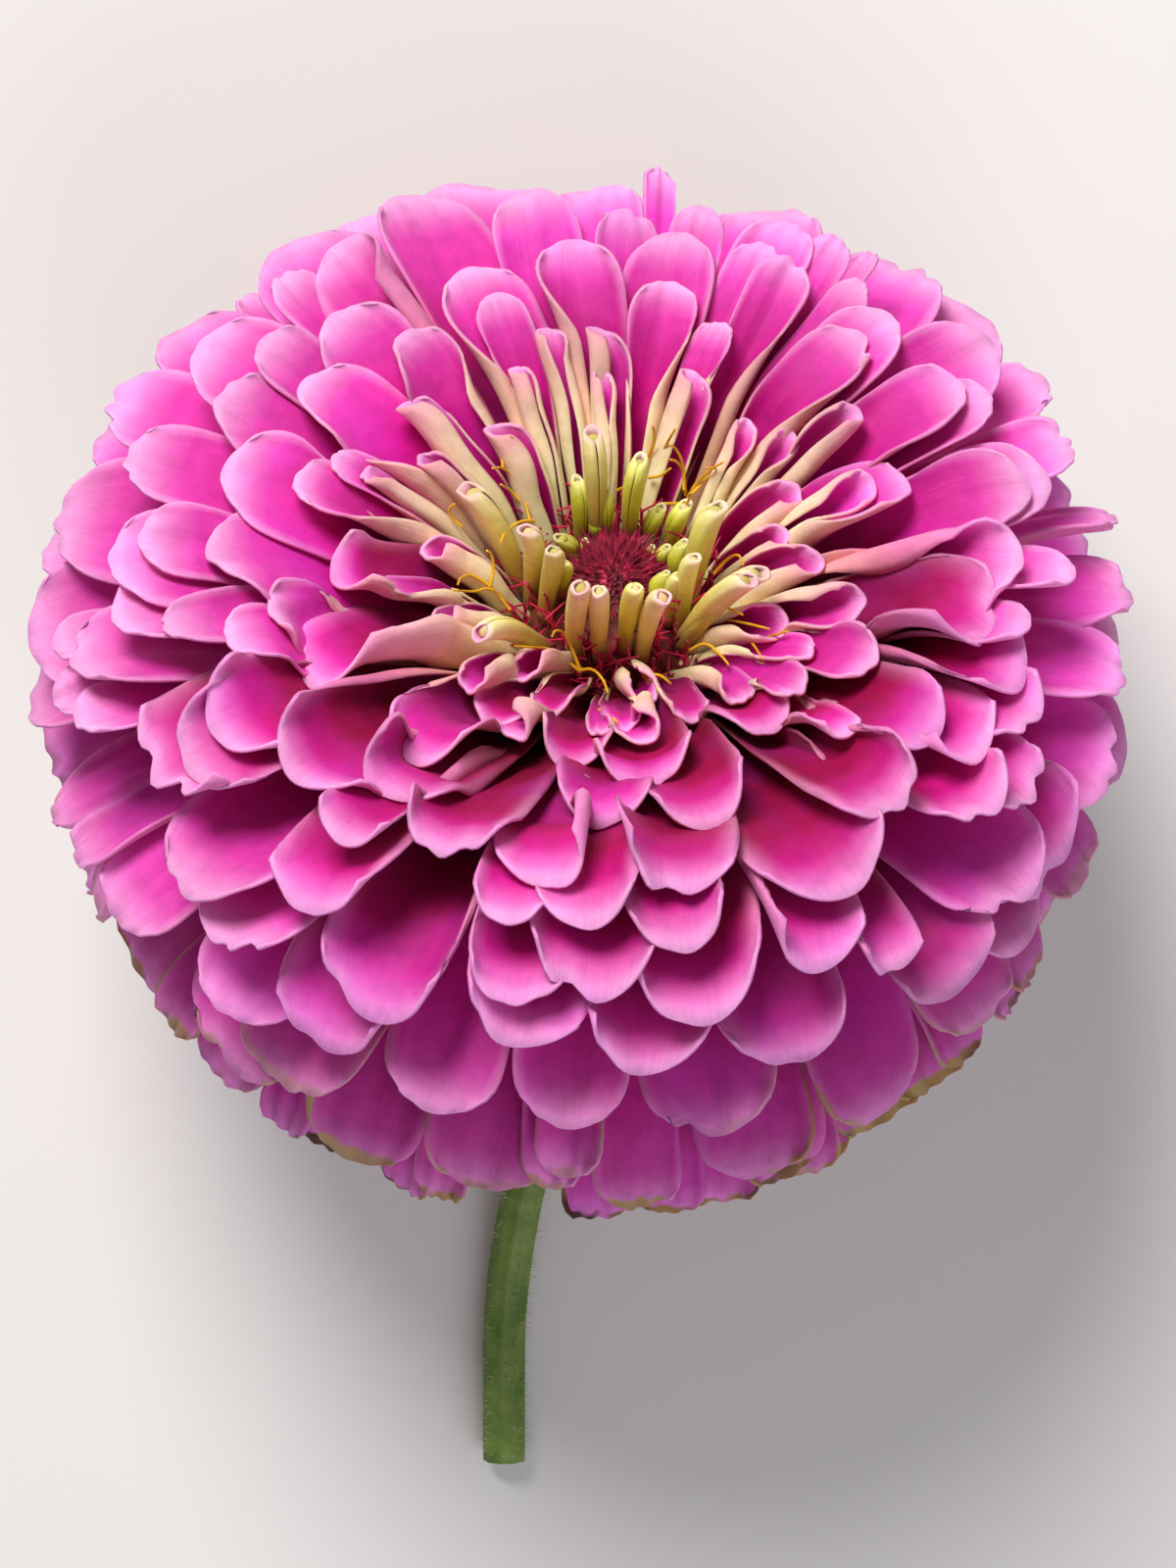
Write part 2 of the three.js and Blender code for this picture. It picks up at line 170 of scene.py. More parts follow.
def on_blade(floret, u, v):
    """The place in the head's frame of a point of the blade: u from root to tip, v from edge to edge."""
    half_top = 0.5 * floret.width
    cap = CAP * half_top / floret.length
    end = max(0.0, (u - 1 + cap) / cap)
    grown = mix(floret.claw, 1, smoothstep(0.1, 0.68, u))
    half = half_top * grown * math.sqrt(1 - END_NARROWING * (1 - floret.blunt) * end * end)
    rounding = END_ROUNDING * (1 - 0.5 * floret.blunt) * v * v
    teeth = sum(depth * math.exp(-((v - floret.notch_at + shift) / width) ** 2)
                for shift, width, depth in NOTCHES)
    u -= end * end * (rounding + floret.notch * teeth) * half_top / floret.length

    early = floret.knee - floret.root
    late = floret.tip - floret.knee
    point = floret.root + 2 * u * (1 - u) * early + u * u * (early + late)
    along = ((1 - u) * early + u * late).normalized()
    back = max(0.0, (u - 0.62) / 0.38)
    point = point + floret.reflex * back * back * Vector((along.y, -along.x))

    behind = floret.skew * (1 if v > 0 else -1)  # one side opens later than the other
    turn = mix(floret.cup, floret.tip_cup, smoothstep(floret.opens + 0.35 * behind, 1, u)) * (1 + behind)
    turn = min(3.12, max(0.03, turn))
    across = half * math.sin(turn * v) / turn
    lift = half * (1 - math.cos(turn * v)) / turn
    edge = max(0.0, (abs(v) - EDGE) / (1 - EDGE))
    side_curl = edge * edge * smoothstep(0.3, 0.8, u) * (1 - end * end)
    lift -= floret.flare * half * (side_curl + max(0.0, (u - 0.87) / 0.13) ** 2)
    swing = math.sin(2 * math.pi * floret.waves * u + floret.phase + (1.9 if v > 0 else 0))
    lift += floret.wave * edge * edge * smoothstep(0.25, 0.7, u) * swing
    lift -= floret.groove * math.cos(3 * math.pi * v) * smoothstep(0.1, 0.5, u) * (1 - edge)
    lift += (floret.ripple * math.sin(9 * u + 2.5 * v + 2 * floret.phase)
             * math.sin(3 * v - 4 * u + floret.phase))

    roll = floret.roll * u
    side = across * math.cos(roll) - lift * math.sin(roll) + floret.sway * u * u
    up = across * math.sin(roll) + lift * math.cos(roll)
    r = point.x - up * along.y
    t = point.y + up * along.x
    return Vector((r * floret.cos - side * floret.sin, r * floret.sin + side * floret.cos, t))


print("a blade has", len(FLAT_BLADE), "settings beside its place")

# %% [markdown]
# ## From formula to mesh
#
# Every petal of one layer goes into one bmesh: a grid from `create_grid`, its points carried to the
# blade's formula, then the whole layer given a second skin a third of a millimetre below the first with
# `extrude_face_region`, which also closes the rim. `solidify` would do it in one step, but it throws
# spikes where a petal is creased. Four values travel with each point for the finishes to read: how old
# the floret is, a tint of its own, how deep its cup is, which also sets how much shade is painted inside
# the cup, and whether the point lies on the underside, which is paler.

# %% Helpers that turn blades into a piece
PETAL_THICK = 0.34
PRESS_FORWARD = 0.6  # how far a pressed point moves along the surface, over how far it is lifted


def head_up(p):
    """How high a point of the head's frame is above the surface, in millimetres."""
    return DISC_MIDDLE.z + p.z * math.sin(AXIS_TILT) - p.y * math.cos(AXIS_TILT)


def press(p, height, softness=0.5):
    """A blade that reaches the surface bends there and runs along it, instead of through it."""
    clearance = (head_up(p) - height) / softness
    if clearance > 12:
        return p
    raised = softness * math.log1p(math.exp(clearance)) if clearance > -30 else 0.0
    lift = raised - clearance * softness
    forward = PRESS_FORWARD * lift
    p.y += forward * math.sin(AXIS_TILT) - lift * math.cos(AXIS_TILT)
    p.z += forward * math.cos(AXIS_TILT) + lift * math.sin(AXIS_TILT)
    return p


def shape(floret, across, along, crowd=0.8):
    """Works out a floret's points, row by row. `crowd` below 1 puts more of the rows near the tip, and
    the columns stand closer near both edges, where the lip turns out."""
    floret.across, floret.along, floret.crowd = across, along, crowd
    floret.points = []
    for row in range(along + 1):
        u = (row / along) ** crowd
        gather = 0.3 * (1 - smoothstep(0.75, 1, u))
        for column in range(across + 1):
            v = 2 * column / across - 1
            floret.points.append(press(on_blade(floret, u, v * (1 + gather * (1 - v * v))), floret.rest))
    return floret


# %% Meshes and finished pieces
def as_mesh(name, bm, matrix=HEAD_TO_WORLD, smooth=True):
    """Turns a bmesh that is ready into a mesh at its place in the world."""
    for face in bm.faces:
        face.smooth = smooth
    bmesh.ops.transform(bm, matrix=matrix, verts=bm.verts[:])
    mesh = bpy.data.meshes.new(name)
    bm.to_mesh(mesh)
    bm.free()
    return mesh


def blades_mesh(name, florets, thick=PETAL_THICK):
    """One mesh of many shaped blades, each from a grid of its own."""
    bm = bmesh.new()
    bm.loops.layers.uv.new("blade")
    layers = {key: bm.verts.layers.float.new(key) for key in ("age", "tint", "deep", "under")}
    facing = bm.verts.layers.float_vector.new("facing")
    for floret in florets:
        grid = bmesh.ops.create_grid(bm, x_segments=floret.across, y_segments=floret.along, size=0.5,
                                     calc_uvs=True)
        for vert in grid["verts"]:
            column = round((vert.co.x + 0.5) * floret.across)
            row = round((vert.co.y + 0.5) * floret.along)
            vert.co = floret.points[row * (floret.across + 1) + column]
            vert[layers["age"]] = floret.age
            vert[layers["tint"]] = floret.tint
            vert[layers["deep"]] = floret.deep
    bmesh.ops.reverse_faces(bm, faces=bm.faces[:])
    bm.normal_update()
    for vert in bm.verts:
        vert[facing] = vert.normal
    made = bmesh.ops.extrude_face_region(bm, geom=bm.faces[:], use_keep_orig=True)
    for vert in made["geom"]:
        if isinstance(vert, bmesh.types.BMVert):
            vert.co -= thick * vert[facing]
            vert[layers["under"]] = 1.0
    bm.verts.layers.float_vector.remove(facing)
    bmesh.ops.recalc_face_normals(bm, faces=bm.faces[:])
    return as_mesh(name, bm)


def new_object(name, data):
    obj = bpy.data.objects.new(name, data)
    bpy.context.scene.collection.objects.link(obj)
    return obj


def piece(name, mesh, material, slot, *nodes):
    """A finished piece: it rides on the flower and stands for CAD nodes. `slot` is not used."""
    obj = new_object(name, mesh)
    obj.data.materials.append(material)
    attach(obj, "root")
    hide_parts(*nodes)
    print(name, len(mesh.polygons), "faces")


# %% Colour and node helpers for the finishes
def colour(hex_text):
    """An sRGB hex value as the linear colour that the shaders work in."""
    channels = [int(hex_text[i:i + 2], 16) / 255 for i in (1, 3, 5)]
    linear = [c / 12.92 if c <= 0.04045 else ((c + 0.055) / 1.055) ** 2.4 for c in channels]
    return (*linear, 1.0)


def add(tree, kind, settings, sockets, out=0):
    """Adds one shader node and returns its output `out`. `settings` are the node's own properties, or
    the stops of a colour ramp. `sockets` are its inputs by name or place: an output is linked, a value
    set."""
    node = tree.nodes.new("ShaderNode" + kind)
    for key, value in settings.items():
        if key != "stops":
            setattr(node, key, value)
            continue
        for _ in range(len(value) - 2):
            node.color_ramp.elements.new(0.5)
        for element, (place, hex_text) in zip(node.color_ramp.elements, value):
            element.position = place
            element.color = colour(hex_text)
    for key, value in sockets.items():
        if isinstance(value, bpy.types.NodeSocket):
            tree.links.new(value, node.inputs[key])
        else:
            node.inputs[key].default_value = value
    return node.outputs[out]


def finish(name, **settings):
    """A new material with its Principled shader's own sockets set."""
    material = bpy.data.materials.new(name)
    material.use_nodes = True
    tree = material.node_tree
    shader = tree.nodes["Principled BSDF"]
    for key, value in settings.items():
        shader.inputs[key.replace("_", " ")].default_value = value
    return material, tree, shader


def blade_places(tree):
    """What the finishes read from a blade's own UV map: the map, the place along it from root to tip,
    and how far off the midrib a point lies, from 0 to 0.5."""
    place = add(tree, "UVMap", {"uv_map": "blade"}, {})
    across, along = (add(tree, "SeparateXYZ", {}, {0: place}, out=axis) for axis in "XY")
    sideways = add(tree, "Math", {"operation": "SUBTRACT"}, {0: across, 1: 0.5})
    sideways = add(tree, "Math", {"operation": "ABSOLUTE"}, {0: sideways})
    return place, along, sideways


def mottled(name, scale, stops, detail=2.0, bump=0.0, **settings):
    """Tissue of a few close colours in soft patches. `bump` gives it a fine grain too."""
    material, tree, shader = finish(name, **settings)
    body = add(tree, "TexCoord", {}, {}, out="Object")
    patch = add(tree, "TexNoise", {}, {"Vector": body, "Scale": scale, "Detail": detail})
    skin = add(tree, "ValToRGB", {"stops": stops}, {"Fac": patch})
    tree.links.new(skin, shader.inputs["Base Color"])
    if bump:
        grain = add(tree, "Bump", {}, {"Height": patch, "Strength": bump, "Distance": 0.0002})
        tree.links.new(grain, shader.inputs["Normal"])
    return material


RGBA = {"data_type": "RGBA"}
SMOOTH = {"interpolation_type": "SMOOTHSTEP"}
TIMES = {"operation": "MULTIPLY"}
FLESHY = {"detail": 4.0, "bump": 0.3, "Specular_IOR_Level": 0.35}  # moist tissue: fine grain, dull gloss
print("helpers ready; mid magenta is", [round(c, 3) for c in colour("#d235a3")])

# %% [markdown]
# ## Petal tissue
#
# A zinnia petal is a thin velvety sheet: its upper skin is covered with tiny cone-shaped cells, which
# scatter light, hide gloss and make the colour deep. Magenta pigment fills the claw, whose dark is
# deepened with painted shade, and fades to lilac pink at the rim, where a painted highlight stands for
# the light on the turned-out lip. Fine veins run from root to tip, and the underside is a pale, greenish
# cream that turns salmon and then pink towards the tip. The oldest petals are more lilac and dry to tan
# at the rim.

# %% The petal finish
# The dark at each ramp's claw is partly pigment and partly painted shade under the petals above; `cupped` is
# painted shade far inside a cup, and `rim` is a painted highlight on the turned-out lip.
PETAL_COLOURS = SimpleNamespace(
    fresh=((0.0, "#8e0042"), (0.32, "#be0070"), (0.6, "#dc129e"), (0.84, "#ec44bc"), (1.0, "#faa2de")),
    cupped=((0.0, "#6c001e"), (0.55, "#8c0034"), (0.77, "#a6044c"), (0.87, "#c60e7e"), (0.945, "#e23cac"),
            (1.0, "#fb9cda")),
    old=((0.0, "#7a0240"), (0.4, "#ae0c74"), (0.68, "#be228e"), (0.88, "#ca3ea0"), (1.0, "#d874be")),
    rim="#ffc4f2", rim_highlight_share=0.42,
    under_young=((0.0, "#dcdc92"), (0.4, "#f6e8b8"), (0.75, "#f5d2b8"), (1.0, "#eda4b2")),
    under_grown=((0.0, "#eed8a4"), (0.3, "#eeae94"), (0.65, "#e078aa"), (1.0, "#e484c6")),
    grown_from=0.12, grown_to=0.4, dry_from=0.72)
# The brown first stop of each underside ramp is painted shade at the tubes' feet, between the tubes; `rim` is
# a painted highlight on the lip.
ROLLED_COLOURS = SimpleNamespace(
    fresh=((0.0, "#99a23c"), (0.6, "#d0d08a"), (0.9, "#e2e0b0"), (1.0, "#e9e6c4")),
    cupped=((0.0, "#99a23c"), (1.0, "#e9e6c4")),
    old=((0.0, "#b9a85c"), (0.5, "#d9a0a0"), (0.85, "#df94b0"), (1.0, "#eeb8c4")),
    rim="#f0cfc4", rim_highlight_share=0.25,
    under_young=((0.0, "#8c4a26"), (0.18, "#a8961e"), (0.4, "#c8c41e"), (0.75, "#dfe044"), (1.0, "#f2f292")),
    under_grown=((0.0, "#8c4a30"), (0.16, "#b89848"), (0.36, "#dcc654"), (0.74, "#f8ea8c"), (0.93, "#fbe6a6"),
                 (1.0, "#fcd0c2")),
    grown_from=0.2, grown_to=0.7, dry_from=9)


def petal_tissue(name, tones):
    """Velvety petal tissue: its value is scattered light, a colour that runs along the blade with painted
    shade at the claw and inside a cup, a painted highlight on the lip and a paler underside."""
    material, tree, shader = finish(
        name, Roughness=0.6, Sheen_Weight=0.08, Sheen_Roughness=0.4, Sheen_Tint=colour("#ffc4ec"),
        Specular_IOR_Level=0.22, Subsurface_Weight=0.2, Subsurface_Scale=0.001,
        Subsurface_Radius=(1.0, 0.25, 0.5))
    place, along, sideways = blade_places(tree)
    age, tint, deep, under = (add(tree, "Attribute", {"attribute_name": key}, {}, out="Fac")
                              for key in ("age", "tint", "deep", "under"))
    body = add(tree, "TexCoord", {}, {}, out="Object")

    # How near a point is to the blade's side or end: the lip that turns out, where a painted highlight
    # stands for the light it catches. A deep cup's lip is broad, which draws the pale U of its mouth.
    side_from = add(tree, "MapRange", {}, {"Value": deep, "To Min": 0.36, "To Max": 0.22})
    side_rim = add(tree, "MapRange", SMOOTH, {"Value": sideways, "From Min": side_from, "From Max": 0.5})
    end_rim = add(tree, "MapRange", SMOOTH, {"Value": along, "From Min": 0.88, "From Max": 1.0})
    rim = add(tree, "Math", {"operation": "MAXIMUM"}, {0: side_rim, 1: end_rim})

    # Veins lie about 0.4 mm apart on a blade 12 mm wide, and run nearly its whole length. The velvet's
    # grain is drawn at 2 mm where the cells are 0.03 mm. Soft patches are 14 mm wide, the dimples and
    # the dry stretches 5 to 10 mm.
    streaks = add(tree, "Mapping", {}, {"Vector": place, "Scale": (32, 2, 1)})
    vein = add(tree, "TexNoise", {}, {"Vector": streaks, "Scale": 1.0, "Detail": 3.0, "Roughness": 0.6})
    veins = add(tree, "MapRange", SMOOTH, {"Value": vein, "From Min": 0.42, "From Max": 0.62})
    grain = add(tree, "TexNoise", {}, {"Vector": body, "Scale": 500.0, "Detail": 3.0, "Roughness": 0.65})
    patch = add(tree, "TexNoise", {}, {"Vector": body, "Scale": 70.0, "Detail": 2.0})
    stretch = add(tree, "TexNoise", {}, {"Vector": body, "Scale": 110.0, "Detail": 3.0, "Roughness": 0.6})

    # The upper face: magenta from a dark claw to a pale lip. The claw's dark is partly pigment and partly
    # painted shade, where it lies under the petals above. Far up inside a cup the colour is painted darker
    # still, as shade in a hollow that sees little light. The oldest florets are more lilac.
    fresh, cupped, old, young, grown = (add(tree, "ValToRGB", {"stops": stops}, {"Fac": along}) for stops in (
        tones.fresh, tones.cupped, tones.old, tones.under_young, tones.under_grown))
    fresh = add(tree, "Mix", RGBA, {"Factor": deep, 6: fresh, 7: cupped}, out=2)
    aged = add(tree, "MapRange", SMOOTH, {"Value": age, "From Min": 0.5, "From Max": 1.0})
    upper = add(tree, "Mix", RGBA, {"Factor": aged, 6: fresh, 7: old}, out=2)
    grown_out = add(tree, "MapRange", SMOOTH, {"Value": along, "From Min": 0.45, "From Max": 0.85})
    # Painted highlight: the lip is mixed paler where it catches the light, less on old florets.
    lip_highlight = add(tree, "Math", TIMES, {0: rim, 1: grown_out})
    lip_highlight_share = add(tree, "MapRange", {}, {"Value": aged, "To Min": tones.rim_highlight_share,
                                           "To Max": 0.4 * tones.rim_highlight_share})
    lip_highlight = add(tree, "Math", TIMES, {0: lip_highlight, 1: lip_highlight_share})
    cool = add(tree, "MapRange", SMOOTH, {"Value": patch, "From Min": 0.45, "From Max": 0.68, "To Max": 0.24})
    vein_share = add(tree, "Math", TIMES, {0: veins, 1: 0.09})
    for share, tone in ((lip_highlight, tones.rim), (cool, "#c23ac6"), (vein_share, "#b3128a")):
        upper = add(tree, "Mix", RGBA, {"Factor": share, 6: upper, 7: colour(tone)}, out=2)

    # The underside: cream with a green cast on young florets, salmon and pink on grown ones.
    ripe = add(tree, "MapRange", SMOOTH, {"Value": age, "From Min": tones.grown_from,
                                          "From Max": tones.grown_to})
    lower = add(tree, "Mix", RGBA, {"Factor": ripe, 6: young, 7: grown}, out=2)
    lower = add(tree, "Mix", RGBA, {"Factor": vein_share, 6: lower, 7: colour("#bfa45e")}, out=2)
    skin = add(tree, "Mix", RGBA, {"Factor": under, 6: upper, 7: lower}, out=2)

    # No two petals are quite alike, and none is quite even.
    shade = add(tree, "MapRange", {}, {"Value": tint, "To Min": 0.9, "To Max": 1.1})
    for source, lightest in ((grain, 1.07), (patch, 1.1)):
        uneven = add(tree, "MapRange", SMOOTH, {"Value": source, "From Min": 0.3, "From Max": 0.7,
                                                "To Min": 0.92, "To Max": lightest})
        shade = add(tree, "Math", TIMES, {0: shade, 1: uneven})
    skin = add(tree, "HueSaturation", {}, {"Color": skin, "Value": shade})

    # Old florets dry at the rim, in ragged stretches, tan and at the last dark brown.
    ragged = add(tree, "Math", {"operation": "MULTIPLY_ADD"}, {0: stretch, 1: 2.2, 2: rim})
    dry_edge = add(tree, "MapRange", SMOOTH, {"Value": ragged, "From Min": 1.94, "From Max": 2.14})
    dry_age = add(tree, "MapRange", SMOOTH, {"Value": age, "From Min": tones.dry_from,
                                             "From Max": tones.dry_from + 0.26})
    dry = add(tree, "Math", TIMES, {0: dry_edge, 1: dry_age})
    parched = add(tree, "ValToRGB", {"stops": ((0.4, "#b09a5c"), (0.58, "#9a7440"), (0.66, "#452616"))},
                  {"Fac": patch})
    skin = add(tree, "Mix", RGBA, {"Factor": dry, 6: skin, 7: parched}, out=2)
    tree.links.new(skin, shader.inputs["Base Color"])

    # Dimples, the veins' folds and the velvet's grain, one bump on the other.
    dimples = add(tree, "Bump", {}, {"Height": stretch, "Strength": 0.35, "Distance": 0.0014})
    folds = add(tree, "Bump", {}, {"Height": vein, "Normal": dimples, "Strength": 0.22, "Distance": 0.0004})
    cells = add(tree, "Bump", {}, {"Height": grain, "Normal": folds, "Strength": 0.25, "Distance": 0.0001})
    tree.links.new(cells, shader.inputs["Normal"])
    return material


petal_finish = petal_tissue("petal_tissue", PETAL_COLOURS)
rolled_finish = petal_tissue("rolled_floret_tissue", ROLLED_COLOURS)
print("petal finish:", len(petal_finish.node_tree.nodes), "nodes")

# %% [markdown]
# ## The ray florets
#
# The broad florets fill a dome, oldest and lowest at its foot. Going round at the golden angle and out
# by equal shares of the dome's area gives each the same room, as on the real head. The ring round the
# eye is younger: narrow, steep channels whose pale undersides show.

# %% The crown that the petals' tips lie on
def sag(azimuth):
    """The crown sinks on its upper side, where the florets aren't held up by those under them."""
    return DOME_SAG * (0.5 - 0.5 * math.sin(azimuth)) ** 1.5


def crown_point(angle, azimuth=math.pi / 2):
    """Radius and height of a tip at an angle round the dome's profile; inside it the crown slopes in."""
    round_it = max(angle, DOME_FIRST)
    height = DOME_RISE if round_it < math.pi / 2 else DOME_DROP
    r = DOME_MIDDLE_R + DOME_REACH * math.sin(round_it)
    t = DOME_MIDDLE_T + height * math.cos(round_it)
    if round_it < math.pi / 2:
        t -= DOME_DIP * (1 - smoothstep(*DIP_RADII, r)) + sag(azimuth) * (1 - smoothstep(*SAG_RADII, r))
    inside = math.degrees(round_it - angle)
    return Vector((r - INNER_IN * inside, t - INNER_DOWN * inside))


def dome_angles():
    """Angles round the dome's profile, each floret taking the same share of its area."""
    angles = []
    angle = DOME_FIRST
    while angle < DOME_LAST:
        angles.append(angle)
        share = (angle - DOME_FIRST) / (DOME_LAST - DOME_FIRST)
        area = mix(*FLORET_AREA, smoothstep(0, 0.4, share))
        height = DOME_RISE if angle < math.pi / 2 else DOME_DROP
        speed = math.hypot(DOME_REACH * math.cos(angle), height * math.sin(angle))
        angle += area / (2 * math.pi * crown_point(angle).x * speed)
    return angles


print("widest ring, mm:", tuple(crown_point(math.pi / 2)), "first ring:", tuple(crown_point(DOME_FIRST)))

# %% [markdown]
# ## Habits of a petal
#
# Most of the petals seen from above have a shape of their own: long spoons on the far side, deep scoops
# on the near side whose pale lips show, limp old ones below. Round the eye stand young ones that are
# still rolled, cream outside with a pink mouth, and channels whose claws are. A few open on one side
# only, so that the peach underside shows, and one at the far edge is a mere curl. They are measured one
# by one, as the azimuth of the tip, its angle round the dome's profile (both in degrees) and the width,
# so the head has the same petals in the same places. The rest of the head, out of sight, follows the
# golden angle.

# %% The habits that petals share
# A "flat" petal takes its cup and its opening from its place on the dome, in ray().
HABITS = {
    "flat": dict(claw=0.34, tip_cup=0.45, reflex=1.2, flare=0.05, groove=0.1, deep=0.15),
    "channel": dict(claw=0.66, cup=2.95, opens=0.38, tip_cup=0.7, reflex=0.5, flare=0.1, groove=0.1,
                    deep=0.3),
    "rolled": dict(claw=0.7, cup=3.05, opens=0.72, tip_cup=2.1, roll=0.7, reflex=0.4, flare=0.1, groove=0.1,
                   deep=0.3),
    "scoop": dict(claw=0.4, cup=2.1, opens=0.3, tip_cup=1.2, reflex=2.2, flare=0.25, groove=0.06, deep=1,
                  blunt=0.3),
    "curled": dict(claw=1, cup=1.2, tip_cup=0.6, roll=0.5, reflex=1.5, sway=4.6, blunt=-0.5, notch=0, wave=0,
                   groove=0, deep=0.1, reach=0.5),
    "old": dict(claw=0.26, cup=0.8, tip_cup=0.5, reflex=1.3, flare=0.1, groove=0.2, wave=0.8, deep=0.2),
}
for side, skew in (("fold+", 0.7), ("fold-", -0.7)):
    HABITS[side] = dict(claw=0.5, cup=2.2, opens=0.55, tip_cup=0.8, skew=skew, reflex=1.0, flare=0.1,
                        deep=0.3)
print("habits:", sorted(HABITS))

# %% The measured petals: azimuth, dome angle, width, habit
MEASURED_RAYS = [
    (41, -30, 3.4, "rolled"), (94, -29, 3.4, "rolled"), (29, -26, 3.9, "rolled"),
    (120, -25, 3.8, "rolled"), (199, -20, 3.3, "channel"), (106, -20, 4.2, "rolled"),
    (244, -19, 6.1, "scoop"), (265, -19, 2.4, "channel"), (170, -18, 3.9, "fold+"),
    (66, -17, 5.3, "channel"), (196, -14, 7.7, "scoop"), (260, -14, 6.9, "scoop"),
    (168, -13, 4.4, "flat"), (80, -12, 7.2, "channel"), (311, -12, 4.5, "channel"),
    (2, -10, 9.5, "channel"), (138, -10, 8.9, "channel"), (176, -6, 8.2, "channel"),
    (119, -3, 11.7, "flat"), (38, -2, 9.3, "channel"), (322, -2, 6.3, "channel"),
    (96, -1, 9.2, "channel"), (158, -1, 12.5, "flat"), (216, 0, 12.5, "scoop"), (237, 2, 8.8, "scoop"),
    (80, 3, 10.1, "flat"), (202, 4, 7.5, "channel"), (142, 4, 10.4, "flat"), (57, 5, 6.4, "channel"),
    (66, 6, 6.2, "flat"), (267, 7, 9.1, "scoop"), (88, 8, 7.0, "flat"), (178, 8, 12.7, "flat"),
    (306, 8, 4.5, "scoop"), (38, 8, 9.7, "flat"), (47, 10, 5.6, "flat"), (152, 12, 7.8, "flat"),
    (192, 12, 14.2, "flat"), (282, 12, 9.2, "scoop"), (20, 13, 10.9, "channel"), (75, 13, 6.1, "flat"),
    (164, 14, 11.5, "flat"), (206, 16, 7.8, "flat"), (239, 16, 9.4, "scoop"), (102, 17, 9.3, "flat"),
    (64, 18, 8.3, "flat"), (92, 18, 9.1, "flat"), (17, 19, 7.7, "flat"), (56, 20, 5.4, "flat"),
    (334, 20, 12.1, "scoop"), (130, 20, 10.6, "fold-"), (141, 22, 7.6, "flat"), (48, 22, 2.9, "flat"),
    (347, 23, 10.0, "fold+"), (358, 24, 11.1, "channel"), (316, 24, 8.2, "scoop"),
    (228, 25, 11.5, "scoop"), (155, 26, 12.4, "flat"), (188, 27, 8.6, "flat"), (248, 28, 9.8, "scoop"),
    (202, 28, 7.4, "flat"), (218, 29, 11.2, "scoop"), (2, 30, 13.2, "flat"), (29, 31, 10.9, "flat"),
    (336, 31, 7.4, "flat"), (174, 32, 11.0, "flat"), (262, 32, 9.4, "scoop"), (320, 34, 10.1, "scoop"),
    (238, 36, 7.3, "scoop"), (277, 36, 11.7, "scoop"), (190, 36, 13.0, "flat"),
    (306, 36, 9.0, "scoop"), (198, 38, 10.1, "flat"), (216, 38, 11.7, "scoop"), (350, 39, 8.6, "flat"),
    (266, 42, 9.7, "scoop"), (258, 43, 6.7, "scoop"), (13, 44, 7.8, "flat"), (297, 44, 14.3, "scoop"),
    (214, 48, 14.8, "scoop"), (316, 50, 9.2, "scoop"), (278, 50, 9.0, "scoop"),
    (161, 52, 12.7, "flat"), (198, 54, 12.6, "flat"), (26, 54, 9.9, "flat"), (238, 54, 11.5, "scoop"),
    (321, 56, 7.8, "scoop"), (192, 58, 7.8, "flat"), (268, 59, 12.2, "scoop"), (204, 60, 9.3, "flat"),
    (260, 62, 9.4, "scoop"), (290, 62, 10.0, "scoop"), (8, 64, 7.9, "old"), (197, 64, 7.6, "old"),
    (224, 68, 17.2, "flat"), (278, 68, 12.5, "scoop"), (346, 70, 13.4, "flat"), (359, 71, 10.6, "old"),
    (247, 72, 12.6, "scoop"), (298, 72, 7.2, "scoop"), (260, 73, 12.4, "scoop"),
    (229, 75, 13.5, "flat"), (272, 78, 12.7, "scoop"), (318, 80, 14.2, "flat"),
    (324, 80, 17.1, "scoop"), (338, 84, 13.6, "flat"), (242, 86, 12.1, "scoop"),
    (288, 87, 12.2, "scoop"), (307, 90, 12.1, "scoop"), (206, 92, 7.3, "old"), (214, 94, 11.6, "old"),
    (230, 94, 12.1, "flat"), (318, 95, 14.4, "flat"), (266, 98, 11.8, "flat"), (252, 98, 12.1, "flat"),
    (196, 100, 8.9, "old"), (280, 104, 14.1, "flat"), (338, 108, 10.0, "old"), (314, 110, 13.0, "old"),
    (266, 113, 7.1, "old"), (263, 117, 6.6, "old"), (328, 118, 8.4, "old"), (302, 119, 14.4, "flat"),
    (256, 120, 13.5, "old"), (216, 122, 7.7, "old"), (324, 122, 8.1, "old"), (240, 124, 12.7, "old"),
    (272, 127, 9.5, "old"), (318, 128, 7.3, "old"), (222, 128, 10.8, "old"), (250, 130, 5.9, "old"),
    (313, 133, 9.5, "old"), (228, 136, 6.6, "old"), (268, 136, 7.7, "old"), (234, 138, 9.6, "old"),
    (244, 138, 7.1, "old"), (308, 138, 11.9, "old"), (276, 138, 8.2, "old"), (282, 138, 10.8, "old"),
    (294, 138, 7.1, "old"), (296, 138, 10.7, "old"), (299, 138, 6.2, "old"), (287, 122, 12.5, "old"),
    (291, 131, 10.0, "old"), (272, -24, 3.6, "scoop"), (289, -24, 4.0, "scoop"), (303, -20, 4.6, "fold-"),
    (318, -18, 4.6, "channel"), (300, -12, 6.6, "scoop"), (252, -26, 4.2, "scoop"),
    (79, 42, 3.4, "curled"), (332, 32, 9.0, "scoop"), (327, 42, 8.0, "scoop"),
]
print(len(MEASURED_RAYS), "petals measured")


